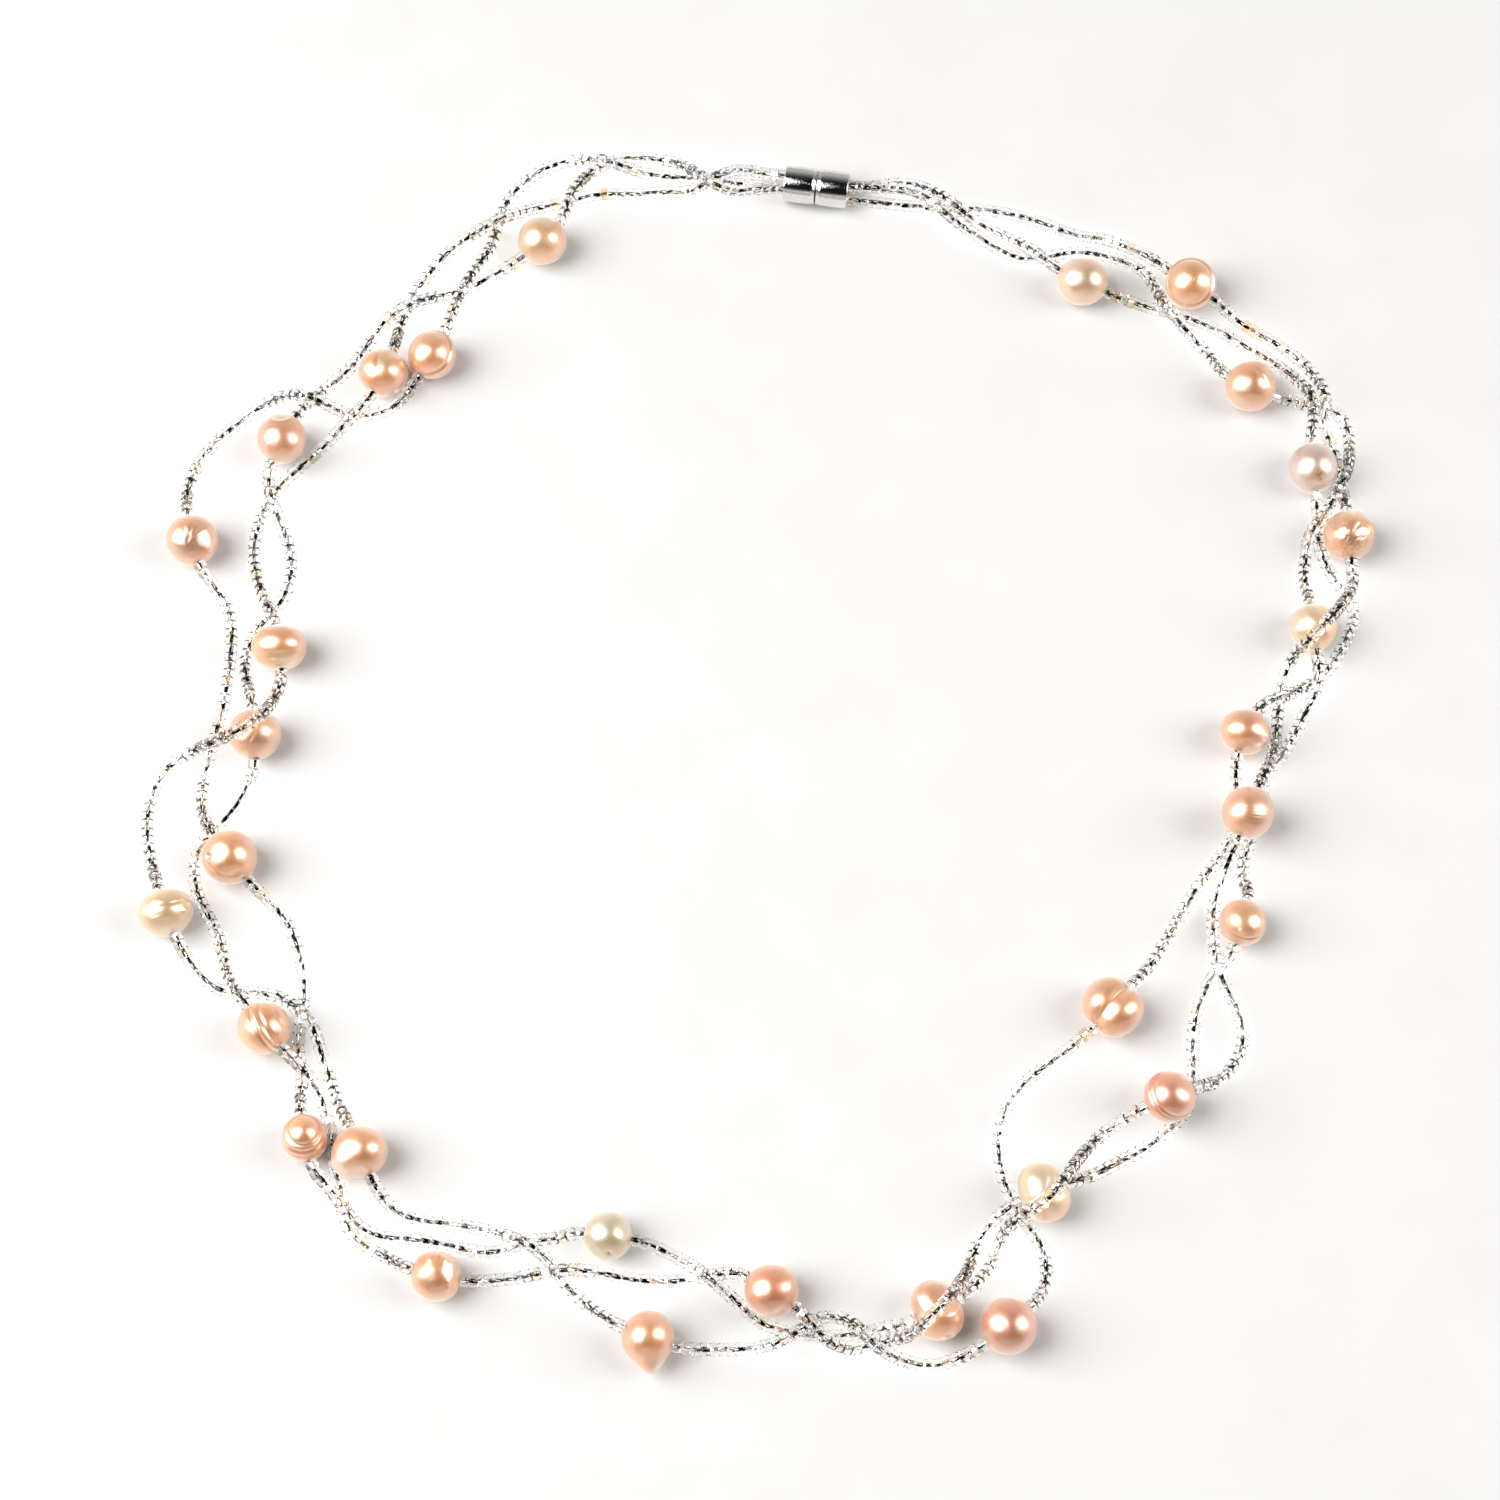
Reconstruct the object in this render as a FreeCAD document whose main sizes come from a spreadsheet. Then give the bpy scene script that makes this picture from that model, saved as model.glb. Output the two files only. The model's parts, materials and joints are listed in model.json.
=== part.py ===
import FreeCAD, Part
import math
import os
import Sketcher

# Three-strand necklace of thirty baroque pearls and glass seed beads, closed by a barrel-shaped
# magnetic clasp. It lies in a ring on a level surface, which is the plane Z = 0. The origin is at
# the centre of the whole ring's bounding rectangle, +Y points at the clasp and +Z points up.
# All lengths are in millimetres.

DOC = FreeCAD.newDocument("PearlNecklace")
VECTOR = FreeCAD.Vector
UP = VECTOR(0, 0, 1)
POLES_ACROSS = FreeCAD.Rotation(VECTOR(1, 1, 1), 120)

SIZES = {
    "thread_diameter": 0.4,
    "bead_diameter": 2.0,
    "bead_length": 1.25,
    "bead_pitch": 1.42,
    "bead_hole": 0.8,
    "bead_chamfer": 0.32,
    "pearl_hole": 1.1,
    "pearl_to_bead": 0.17,
    "cut_gap": 0.2,
    "clasp_diameter": 6.0,
    "clasp_bore": 4.8,
    "clasp_half_length": 5.3,
    "clasp_seam_gap": 0.06,
    "clasp_mouth_depth": 1.8,
    "clasp_rim_rounding": 0.25,
    "plug_length": 1.2,
    "plug_clearance": 0.03,
    "magnet_recess": 0.08,
}

# Each pearl's length along its drilled hole, and its width across the hole.
PEARLS = {
    1: (8.3, 7.9), 2: (8.1, 7.7), 3: (7.9, 7.9), 4: (8.2, 7.9), 5: (8.2, 8.2),
    6: (7.6, 8.6), 7: (8.2, 8.2), 8: (8.4, 8.6), 9: (7.2, 8.2), 10: (8.2, 8.1),
    11: (7.3, 6.8), 12: (7.9, 8.2), 13: (7.6, 7.6), 14: (7.2, 7.3), 15: (7.9, 8.2),
    16: (8.0, 8.0), 17: (7.2, 9.0), 18: (8.5, 8.6), 19: (7.3, 9.3), 20: (7.9, 7.9),
    21: (8.2, 9.4), 22: (7.4, 7.2), 23: (8.4, 8.1), 24: (7.2, 7.8), 25: (7.6, 7.6),
    26: (8.0, 8.0), 27: (8.4, 7.9), 28: (8.3, 8.2), 29: (8.3, 8.5), 30: (8.4, 7.9),
}

# Twin pearls are two lobes grown together side by side, and the hole passes between them. For each:
# the second lobe's size as a share of the first, one lobe's width as a share of the whole width, and
# the height.
TWIN_PEARLS = {17: (0.9, 0.74, 7.2), 19: (0.92, 0.74, 7.4), 21: (0.97, 0.68, 7.5)}

# The clasp's centre, and the heading of its axis from the left half to the right half.
CLASP_CENTRE = VECTOR(8.67, 93.97, 3.0)
CLASP_HEADING = -8.0

# Each strand's route, from the left half of the clasp round the ring to the right half.
ROUTE_A = [
    (5.1, 95.5, 3.6), (0.9, 96.1, 3.4), (-3.8, 97.6, 2.6), (-6.9, 96.2, 3.4), (-9.5, 94.8, 3.1),
    (-12.3, 94.0, 1.2), (-16.5, 94.1, 1.1), (-21.4, 93.6, 1.1), (-27.6, 93.8, 1.1),
    (-33.3, 92.0, 1.1), (-38.6, 90.7, 1.3), (-42.3, 88.4, 3.3), (-45.6, 86.5, 3.3),
    (-49.4, 85.2, 1.1), (-52.4, 82.5, 1.1), (-54.9, 79.0, 1.1), (-57.1, 75.5, 1.1),
    (-58.4, 72.5, 1.1), (-59.6, 68.2, 1.4), (-59.9, 63.9, 3.95), (-63.1, 55.2, 3.95),
    (-67.6, 50.6, 3.3), (-70.6, 48.0, 1.1), (-74.4, 44.3, 1.1), (-78.0, 40.6, 1.1),
    (-80.5, 35.7, 1.1), (-81.5, 29.9, 1.1), (-80.6, 24.9, 1.6), (-79.0, 20.5, 3.0),
    (-76.8, 16.3, 4.3), (-75.2, 7.2, 4.3), (-76.1, 3.2, 4.9), (-76.7, 0.4, 7.9), (-78.5, -2.4, 9.6),
    (-81.5, -4.4, 9.5), (-85.2, -4.6, 5.9), (-89.8, -5.0, 1.8), (-93.7, -7.6, 1.1),
    (-95.4, -12.6, 1.1), (-95.7, -17.9, 1.1), (-94.5, -22.7, 1.1), (-92.9, -27.3, 4.1),
    (-89.7, -35.9, 4.1), (-86.2, -40.8, 1.1), (-82.7, -43.4, 1.1), (-78.8, -43.4, 1.1),
    (-74.3, -43.9, 1.5), (-70.5, -46.5, 3.35), (-67.9, -50.0, 3.35), (-66.9, -53.6, 1.1),
    (-65.6, -57.3, 1.1), (-64.0, -61.1, 1.8), (-62.2, -64.7, 4.1), (-58.6, -73.1, 4.1),
    (-55.7, -77.0, 1.1), (-51.7, -78.7, 1.1), (-45.9, -79.2, 1.1), (-40.5, -80.3, 1.6),
    (-36.9, -81.8, 3.2), (-33.8, -83.2, 3.2), (-31.6, -85.3, 1.1), (-29.1, -88.9, 1.1),
    (-26.1, -91.7, 1.4), (-21.5, -95.0, 4.1), (-12.9, -98.3, 4.1), (-5.2, -97.9, 1.1),
    (-0.3, -97.6, 1.3), (3.1, -96.5, 3.3), (5.5, -95.2, 3.35), (8.3, -93.0, 1.5),
    (11.0, -93.1, 1.2), (13.6, -94.9, 3.7), (16.5, -98.3, 3.7), (20.3, -99.6, 1.3),
    (24.3, -100.4, 1.1), (28.3, -99.3, 2.0), (31.8, -97.8, 4.3), (39.1, -92.2, 4.3),
    (41.1, -88.9, 2.2), (41.7, -85.2, 1.1), (40.5, -81.4, 1.1), (37.9, -78.0, 1.1),
    (36.1, -74.3, 1.1), (34.9, -69.9, 1.1), (34.9, -65.1, 1.1), (36.3, -61.0, 1.1),
    (39.5, -57.0, 1.1), (44.0, -53.9, 1.1), (49.1, -50.2, 3.95), (55.8, -42.9, 3.95),
    (58.5, -39.7, 2.2), (61.2, -35.5, 1.1), (64.3, -30.1, 1.1), (67.3, -25.4, 1.1),
    (70.5, -21.4, 1.1), (72.7, -17.9, 1.1), (73.2, -13.0, 1.1), (72.8, -6.4, 3.9), (76.5, 2.0, 3.9),
    (82.0, 4.3, 3.2), (85.7, 6.7, 1.1), (88.9, 9.4, 1.1), (91.4, 13.6, 1.1), (93.5, 18.1, 1.1),
    (92.5, 21.7, 1.1), (89.8, 25.6, 1.1), (88.3, 29.9, 1.1), (88.4, 34.7, 1.1), (87.9, 38.1, 3.95),
    (87.4, 47.3, 3.95), (88.4, 51.6, 3.6), (88.2, 55.9, 3.8), (86.2, 59.9, 1.2), (82.5, 63.0, 1.1),
    (78.3, 65.7, 1.1), (73.4, 69.0, 1.1), (68.5, 71.2, 1.1), (63.8, 72.4, 1.1), (59.4, 73.7, 1.6),
    (56.0, 73.9, 3.95), (47.9, 78.2, 3.95), (43.9, 82.3, 3.35), (39.8, 85.6, 1.1),
    (36.1, 87.7, 1.1), (32.9, 89.2, 3.2), (30.0, 91.8, 3.2), (26.3, 95.2, 1.1), (22.1, 95.9, 1.2),
    (17.2, 94.3, 2.05), (12.4, 94.3, 2.45),
]
ROUTE_B = [
    (5.1, 94.5, 1.8), (0.1, 95.1, 1.5), (-5.1, 95.6, 1.1), (-10.7, 96.8, 1.1), (-16.1, 96.9, 1.1),
    (-20.5, 97.5, 1.4), (-24.2, 98.1, 3.4), (-27.3, 98.9, 3.55), (-31.9, 100.1, 1.1),
    (-36.7, 98.5, 1.1), (-40.8, 94.8, 1.1), (-43.3, 90.8, 1.1), (-44.2, 86.5, 1.1),
    (-45.1, 83.2, 1.1), (-46.9, 80.0, 2.3), (-48.6, 75.8, 3.7), (-50.1, 72.5, 3.5),
    (-51.7, 67.0, 3.9), (-55.7, 58.7, 3.9), (-59.6, 54.65, 1.1), (-64.3, 53.1, 1.1),
    (-67.5, 53.2, 1.6), (-71.5, 54.2, 4.9), (-75.5, 55.5, 4.9), (-80.3, 55.6, 1.6),
    (-84.6, 52.1, 1.1), (-88.1, 49.0, 1.1), (-90.8, 45.2, 1.1), (-92.4, 40.9, 1.1),
    (-92.0, 34.5, 4.1), (-89.5, 25.6, 4.1), (-87.0, 23.0, 1.9), (-85.1, 20.2, 1.1),
    (-84.2, 17.4, 1.1), (-84.0, 12.1, 1.1), (-84.4, 6.8, 1.1), (-84.9, 2.0, 1.1),
    (-85.9, -1.9, 1.1), (-86.8, -6.7, 1.1), (-87.4, -11.1, 1.1), (-87.0, -15.4, 2.2),
    (-84.8, -19.1, 4.3), (-79.3, -26.5, 4.3), (-74.8, -30.1, 1.1), (-72.5, -33.5, 1.1),
    (-70.8, -37.9, 1.1), (-70.0, -42.8, 1.1), (-70.2, -46.7, 1.1), (-70.8, -51.1, 1.1),
    (-70.2, -54.8, 1.1), (-69.7, -58.6, 1.3), (-69.8, -62.2, 3.6), (-67.7, -71.2, 3.6),
    (-64.9, -74.0, 3.2), (-62.5, -77.2, 3.2), (-60.2, -80.0, 3.0), (-57.2, -81.2, 1.1),
    (-52.3, -81.4, 1.1), (-47.4, -82.2, 1.1), (-42.5, -83.5, 1.1), (-38.6, -83.2, 1.1),
    (-34.9, -81.6, 1.1), (-31.2, -81.5, 1.5), (-27.8, -80.9, 3.7), (-18.7, -81.9, 3.7),
    (-12.8, -84.6, 2.4), (-9.8, -86.5, 3.35), (-7.0, -88.7, 3.35), (-4.1, -91.0, 1.1),
    (-0.5, -94.2, 1.1), (3.5, -95.3, 1.1), (7.5, -95.9, 1.1), (12.5, -95.8, 1.1),
    (17.6, -94.7, 1.5), (20.9, -94.6, 3.9), (29.2, -90.7, 3.9), (33.2, -85.9, 1.1),
    (34.5, -82.7, 1.2), (35.5, -80.5, 2.8), (37.2, -79.1, 5.8), (39.3, -78.3, 7.9),
    (41.6, -77.1, 9.3), (43.5, -74.7, 9.1), (46.1, -70.8, 6.2), (49.4, -66.5, 2.2),
    (53.2, -63.8, 2.6), (56.0, -62.6, 5.6), (64.6, -59.3, 5.6), (67.8, -58.2, 3.4),
    (71.3, -54.3, 1.2), (72.6, -50.1, 1.1), (71.8, -46.2, 1.1), (70.1, -42.6, 1.1),
    (68.8, -38.9, 1.1), (68.4, -34.0, 1.1), (68.8, -29.6, 1.1), (70.2, -25.4, 2.0),
    (72.3, -20.4, 6.05), (75.9, -11.9, 6.05), (78.9, -5.9, 3.4), (79.8, -1.8, 1.6),
    (80.4, 2.5, 1.1), (81.1, 6.6, 1.1), (82.5, 10.1, 2.4), (84.0, 11.4, 5.8), (85.9, 12.6, 8.9),
    (88.4, 15.2, 8.9), (90.8, 18.7, 6.0), (93.0, 22.2, 3.6), (92.8, 26.4, 4.0), (92.5, 35.6, 4.0),
    (92.7, 39.2, 1.4), (92.2, 42.4, 1.1), (92.0, 45.2, 1.1), (91.2, 48.1, 1.1), (90.0, 50.9, 1.8),
    (90.6, 53.8, 3.3), (90.1, 57.6, 3.3), (87.8, 62.5, 1.1), (83.9, 65.9, 1.1), (79.4, 68.6, 1.1),
    (76.1, 70.9, 1.9), (73.3, 72.7, 4.25), (65.8, 78.2, 4.25), (63.2, 81.2, 2.6), (59.5, 82.9, 2.9),
    (55.7, 84.9, 2.0), (51.2, 85.9, 1.1), (46.4, 88.2, 1.1), (41.7, 89.8, 1.1), (36.9, 90.7, 1.1),
    (33.1, 91.1, 1.1), (30.1, 90.5, 1.1), (26.5, 91.3, 1.1), (22.6, 91.6, 1.1), (17.2, 92.0, 1.7),
    (12.1, 92.2, 2.5),
]
ROUTE_C = [
    (5.0, 93.4, 3.6), (0.4, 93.7, 3.5), (-4.7, 92.9, 3.2), (-8.1, 93.4, 5.0), (-10.8, 95.3, 4.9),
    (-13.7, 98.6, 2.5), (-17.1, 100.2, 1.1), (-21.4, 100.6, 1.1), (-25.2, 100.0, 1.1),
    (-28.1, 98.2, 1.1), (-30.4, 95.2, 2.6), (-32.1, 91.9, 3.4), (-33.11, 86.78, 4.0),
    (-39.59, 80.22, 4.0), (-45.1, 78.2, 1.1), (-49.2, 75.8, 1.1), (-53.0, 74.7, 1.4),
    (-56.0, 72.9, 3.5), (-58.9, 71.3, 3.8), (-62.1, 69.9, 1.5), (-64.4, 66.2, 1.1),
    (-66.8, 62.1, 1.1), (-69.8, 59.1, 1.1), (-72.1, 56.9, 1.5), (-75.5, 51.9, 4.05),
    (-79.1, 43.4, 4.05), (-79.2, 39.4, 3.4), (-77.9, 35.8, 3.3), (-76.8, 33.5, 1.1),
    (-75.2, 28.5, 1.1), (-75.2, 23.7, 1.1), (-77.2, 19.5, 1.1), (-80.2, 16.2, 1.1),
    (-81.5, 12.6, 1.1), (-81.8, 9.1, 1.3), (-79.6, 1.9, 4.1), (-78.7, -7.3, 4.1),
    (-80.3, -10.4, 1.6), (-82.1, -13.7, 1.1), (-84.5, -16.7, 1.1), (-86.8, -19.2, 1.1),
    (-88.1, -23.0, 1.1), (-87.5, -27.2, 1.1), (-85.6, -30.8, 1.1), (-83.6, -34.3, 1.1),
    (-82.6, -38.3, 1.3), (-81.1, -42.5, 3.1), (-78.4, -46.2, 4.1), (-72.6, -53.4, 4.1),
    (-68.7, -56.8, 3.5), (-66.9, -59.7, 1.2), (-65.7, -62.9, 1.1), (-64.9, -66.9, 1.1),
    (-64.3, -71.3, 1.1), (-63.0, -75.1, 1.1), (-63.0, -77.4, 1.1), (-61.8, -80.4, 1.1),
    (-59.2, -82.7, 1.1), (-55.9, -84.3, 1.7), (-52.9, -86.4, 3.85), (-43.9, -88.5, 3.85),
    (-37.3, -87.4, 1.2), (-33.0, -86.9, 3.2), (-29.1, -86.3, 3.2), (-24.8, -86.4, 1.1),
    (-19.9, -87.5, 1.1), (-15.0, -87.9, 1.1), (-10.4, -87.4, 1.1), (-6.4, -86.5, 1.5),
    (-2.9, -87.2, 4.0), (4.7, -92.3, 4.0), (7.1, -95.4, 5.45), (9.4, -97.3, 3.4),
    (12.7, -97.9, 1.2), (15.5, -97.2, 1.1), (18.5, -96.7, 2.0), (21.1, -96.7, 5.6),
    (23.4, -94.9, 8.9), (26.1, -92.3, 9.3), (28.2, -89.4, 6.75), (30.0, -86.1, 2.2),
    (31.1, -82.7, 1.1), (32.8, -79.5, 1.1), (36.9, -76.5, 3.95), (45.5, -73.3, 3.95),
    (49.0, -72.0, 2.0), (53.0, -69.7, 1.1), (57.1, -67.6, 1.1), (61.2, -64.4, 1.1),
    (63.9, -61.2, 1.1), (64.7, -56.5, 1.1), (64.5, -52.1, 1.1), (65.2, -47.2, 1.1),
    (66.8, -43.1, 2.2), (68.7, -40.3, 3.3), (71.4, -37.5, 3.75), (74.2, -28.8, 3.75),
    (73.4, -25.5, 1.4), (73.7, -22.3, 1.1), (75.1, -18.9, 1.1), (76.4, -15.0, 1.1),
    (77.1, -11.1, 1.1), (78.5, -7.6, 1.1), (81.4, -4.0, 1.1), (83.5, -0.3, 1.1), (85.3, 3.2, 1.4),
    (86.7, 5.6, 3.7), (86.6, 10.7, 3.8), (86.0, 19.9, 3.8), (85.4, 23.8, 1.8), (86.1, 28.8, 1.3),
    (86.5, 31.6, 3.5), (89.1, 34.5, 3.8), (91.0, 38.2, 4.0), (93.2, 42.3, 3.6), (94.3, 47.3, 1.2),
    (94.1, 51.3, 1.1), (92.3, 54.2, 1.1), (87.4, 55.1, 1.1), (82.5, 55.1, 4.1), (74.2, 59.1, 4.1),
    (72.8, 62.7, 2.2), (70.2, 66.5, 1.5), (67.4, 69.1, 3.4), (64.9, 72.5, 3.4), (64.0, 76.5, 1.2),
    (62.2, 79.6, 1.1), (58.3, 81.6, 1.1), (54.0, 82.8, 1.1), (49.8, 82.9, 1.1), (46.0, 81.8, 1.1),
    (42.2, 81.6, 1.1), (38.5, 83.4, 1.1), (35.2, 85.6, 1.6), (32.0, 87.2, 3.0), (29.1, 89.8, 3.3),
    (26.3, 92.6, 3.2), (22.1, 93.7, 3.3), (17.1, 93.4, 4.0), (12.3, 93.4, 4.35),
]

# For each strand: its route, the pearls on it with the run (counted from 0) that each is
# threaded on, and the runs in whose middle the strand passes from one part of the ring to the next.
STRANDS = {
    "a": {
        "route": ROUTE_A,
        "pearls": {3: 19, 6: 29, 9: 41, 12: 52, 15: 63, 18: 76, 21: 88, 24: 97, 27: 108, 30: 119},
        "cuts": (50, 69, 92),
    },
    "b": {
        "route": ROUTE_B,
        "pearls": {2: 17, 5: 29, 8: 41, 11: 51, 14: 63, 17: 74, 20: 86, 23: 97, 26: 109, 29: 122},
        "cuts": (49, 71, 95),
    },
    "c": {
        "route": ROUTE_C,
        "pearls": {1: 12, 4: 24, 7: 35, 10: 47, 13: 59, 16: 69, 19: 83, 22: 95, 25: 107, 28: 119},
        "cuts": (49, 72, 96),
    },
}

# An arc at a corner of the route takes up this share of the shorter of its two runs.
ARC_SHARE = 0.45


def make_sheet():
    sheet = DOC.addObject("Spreadsheet::Sheet", "Sizes")
    values = dict(SIZES)
    for number, (long, wide) in PEARLS.items():
        values[f"pearl_{number}_long"] = long
        values[f"pearl_{number}_wide"] = wide
    for number, twin in TWIN_PEARLS.items():
        values[f"pearl_{number}_high"] = twin[2]
    for row, (alias, value) in enumerate(values.items(), start=1):
        sheet.set(f"A{row}", alias)
        sheet.set(f"B{row}", str(value))
        sheet.setAlias(f"B{row}", alias)
    DOC.recompute()
    return sheet


SHEET = make_sheet()
NODES = []


def size(alias):
    return float(SHEET.get(alias))


def keep(feature, label, placement=None):
    """Names a finished piece and puts it in its place."""
    feature.Label = label
    if placement is not None:
        feature.Placement = placement
    NODES.append(feature)
    return feature


def along(direction, base):
    """A placement that turns local +Z to the direction, at the base point."""
    return FreeCAD.Placement(base, FreeCAD.Rotation(UP, direction))


class Path:
    """A strand's route as straight runs joined by tangent arcs."""

    def __init__(self, route):
        points = [VECTOR(*point) for point in route]
        runs = [b - a for a, b in zip(points, points[1:])]
        lengths = [run.Length for run in runs]
        trims = [0.0]
        for before, after in zip(lengths, lengths[1:]):
            trims.append(ARC_SHARE * min(before, after))
        trims.append(0.0)
        self.edges = []
        self.starts = []
        self.run_edge = []
        self.run_middle = []
        self.radii = []
        self.length = 0.0
        for i, run in enumerate(runs):
            heading = VECTOR(run).normalize()
            first = points[i] + heading * trims[i]
            last = points[i + 1] - heading * trims[i + 1]
            self.run_edge.append(len(self.edges))
            self.run_middle.append(self.length + lengths[i] / 2 - trims[i])
            self.add(Part.LineSegment(first, last).toShape())
            if i + 1 < len(runs):
                self.add(self.corner(points[i + 1], heading, runs[i + 1], trims[i + 1]))

    def corner(self, point, heading, next_run, trim):
        next_heading = VECTOR(next_run).normalize()
        half_turn = heading.getAngle(next_heading) / 2
        radius = trim / math.tan(half_turn)
        self.radii.append(radius)
        inward = (next_heading - heading).normalize()
        middle = point + inward * (radius / math.cos(half_turn) - radius)
        return Part.Arc(point - heading * trim, middle, point + next_heading * trim).toShape()

    def add(self, edge):
        self.edges.append(edge)
        self.starts.append(self.length)
        self.length += edge.Length

    def at(self, distance):
        """The point that lies this far along the path."""
        i = len(self.starts) - 1
        while self.starts[i] > distance and i > 0:
            i -= 1
        edge = self.edges[i]
        inside = min(max(distance - self.starts[i], 0.0), edge.Length)
        return edge.valueAt(edge.getParameterByLength(inside))

    def piece(self, first_cut, last_cut, gap):
        """The edges between the middles of two runs, each end half a gap short of the middle."""
        first = 0 if first_cut is None else self.run_edge[first_cut]
        last = len(self.edges) - 1 if last_cut is None else self.run_edge[last_cut]
        edges = list(self.edges[first:last + 1])
        if first_cut is not None:
            begin = self.at(self.run_middle[first_cut] + gap / 2)
            edges[0] = Part.LineSegment(begin, edges[0].lastVertex().Point).toShape()
        if last_cut is not None:
            end = self.at(self.run_middle[last_cut] - gap / 2)
            edges[-1] = Part.LineSegment(edges[-1].firstVertex().Point, end).toShape()
        return edges


def make_lobes(number):
    """A twin pearl without its hole: the lobes lie side by side along local X, which is also their pole axis."""
    long = f"Sizes.pearl_{number}_long"
    wide = f"Sizes.pearl_{number}_wide"
    second_size, lobe_width, _ = TWIN_PEARLS[number]
    lobes = []
    for side, share in ((-1, 1.0), (1, second_size)):
        lobe = DOC.addObject("Part::Ellipsoid", f"Pearl{number}Lobe")
        lobe.setExpression("Radius1", f"{wide} * {lobe_width} / 2")
        lobe.setExpression("Radius2", f"Sizes.pearl_{number}_high * {share} / 2")
        lobe.setExpression("Radius3", f"{long} * {share} / 2")
        lobe.Placement.Rotation = POLES_ACROSS
        lobe.setExpression("Placement.Base.x", f"{side} * {wide} * {(1 - lobe_width) / 2}")
        lobes.append(lobe)
    whole = DOC.addObject("Part::Fuse", f"Pearl{number}Lobes")
    whole.Base, whole.Tool = lobes
    return whole


def make_pearl(number, path, run):
    long = f"Sizes.pearl_{number}_long"
    wide = f"Sizes.pearl_{number}_wide"
    if number in TWIN_PEARLS:
        whole = make_lobes(number)
    else:
        whole = DOC.addObject("Part::Ellipsoid", f"Pearl{number}Whole")
        whole.setExpression("Radius1", f"{long} / 2")
        whole.setExpression("Radius2", f"{wide} / 2")
        whole.setExpression("Radius3", f"{wide} / 2")
    hole = DOC.addObject("Part::Cylinder", f"Pearl{number}Hole")
    hole.setExpression("Radius", "Sizes.pearl_hole / 2")
    hole.setExpression("Height", f"{long} * 2")
    hole.setExpression("Placement.Base.z", f"-{long}")
    pearl = DOC.addObject("Part::Cut", f"Pearl{number}")
    pearl.Base = whole
    pearl.Tool = hole
    middle = path.run_middle[run]
    heading = path.at(middle + 0.1) - path.at(middle - 0.1)
    level = UP.cross(heading).normalize()
    upright = heading.cross(level).normalize()
    turn = FreeCAD.Rotation(level, upright, heading, "ZXY")
    return keep(pearl, f"pearl_{number:02d}", FreeCAD.Placement(path.at(middle), turn))


def bead_shape():
    """A seed bead about local +Z, its middle at the origin: a short tube with sloping shoulders."""
    outer = size("bead_diameter") / 2
    half = size("bead_length") / 2
    bore = size("bead_hole") / 2
    tube = Part.makeCylinder(outer, 2 * half, VECTOR(0, 0, -half))
    rims = [e for e in tube.Edges if len(e.Vertexes) == 1 and abs(e.Length - 2 * math.pi * outer) < 0.01]
    shouldered = tube.makeChamfer(size("bead_chamfer"), rims)
    return shouldered.cut(Part.makeCylinder(bore, 4 * half, VECTOR(0, 0, -2 * half)))


def bead_spans(path, pearls, first_cut, last_cut):
    """The stretches of bare thread, as distances along the path, that beads fill."""
    half_gap = size("cut_gap") / 2
    first = half_gap if first_cut is None else path.run_middle[first_cut] + half_gap
    last = path.length - half_gap if last_cut is None else path.run_middle[last_cut] - half_gap
    stops = [first]
    for number, run in sorted(pearls.items()):
        middle = path.run_middle[run]
        if first < middle < last:
            reach = size(f"pearl_{number}_long") / 2 + size("pearl_to_bead")
            stops += [middle - reach, middle + reach]
    stops.append(last)
    return list(zip(stops[0::2], stops[1::2]))


def make_beads(label, bead, path, spans):
    """A row of seed beads that fills each span evenly."""
    half = size("bead_length") / 2
    beads = []
    for first, last in spans:
        count = max(1, int((last - first + size("bead_pitch") - 2 * half) / size("bead_pitch")))
        pitch = (last - first) / count
        for i in range(count):
            middle = first + pitch * (i + 0.5)
            low = path.at(middle - half)
            high = path.at(middle + half)
            turned = bead.copy()
            turned.Placement = along(high - low, (low + high) / 2)
            beads.append(turned)
    row = DOC.addObject("Part::Feature", label.title().replace("_", ""))
    row.Shape = Part.makeCompound(beads)
    keep(row, label)
    return len(beads)


def make_thread(label, edges):
    radius = size("thread_diameter") / 2
    start = edges[0].firstVertex().Point
    heading = edges[0].lastVertex().Point - start
    section = Part.Wire(Part.makeCircle(radius, start, heading))
    spine = Part.Wire(edges)
    tube = spine.makePipeShell([section], True, False)
    thread = DOC.addObject("Part::Feature", label.title().replace("_", ""))
    thread.Shape = tube
    keep(thread, label)
    expected = math.pi * radius ** 2 * spine.Length
    print(f"{label}: length {spine.Length:.1f}, volume {tube.Volume:.3f} of {expected:.3f}")


def make_strand(name, strand, bead):
    path = Path(strand["route"])
    print(f"strand {name}: length {path.length:.1f}, radii {min(path.radii):.1f} and up")
    print("  radii:", " ".join(f"{radius:.1f}" for radius in path.radii))
    for number, run in strand["pearls"].items():
        make_pearl(number, path, run)
    cuts = (None,) + strand["cuts"] + (None,)
    total = 0
    for i, (first_cut, last_cut) in enumerate(zip(cuts, cuts[1:]), start=1):
        make_thread(f"thread_{name}_{i}", path.piece(first_cut, last_cut, size("cut_gap")))
        spans = bead_spans(path, strand["pearls"], first_cut, last_cut)
        total += make_beads(f"seed_beads_{name}_{i}", bead, path, spans)
    print(f"strand {name}: {total} seed beads")


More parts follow.
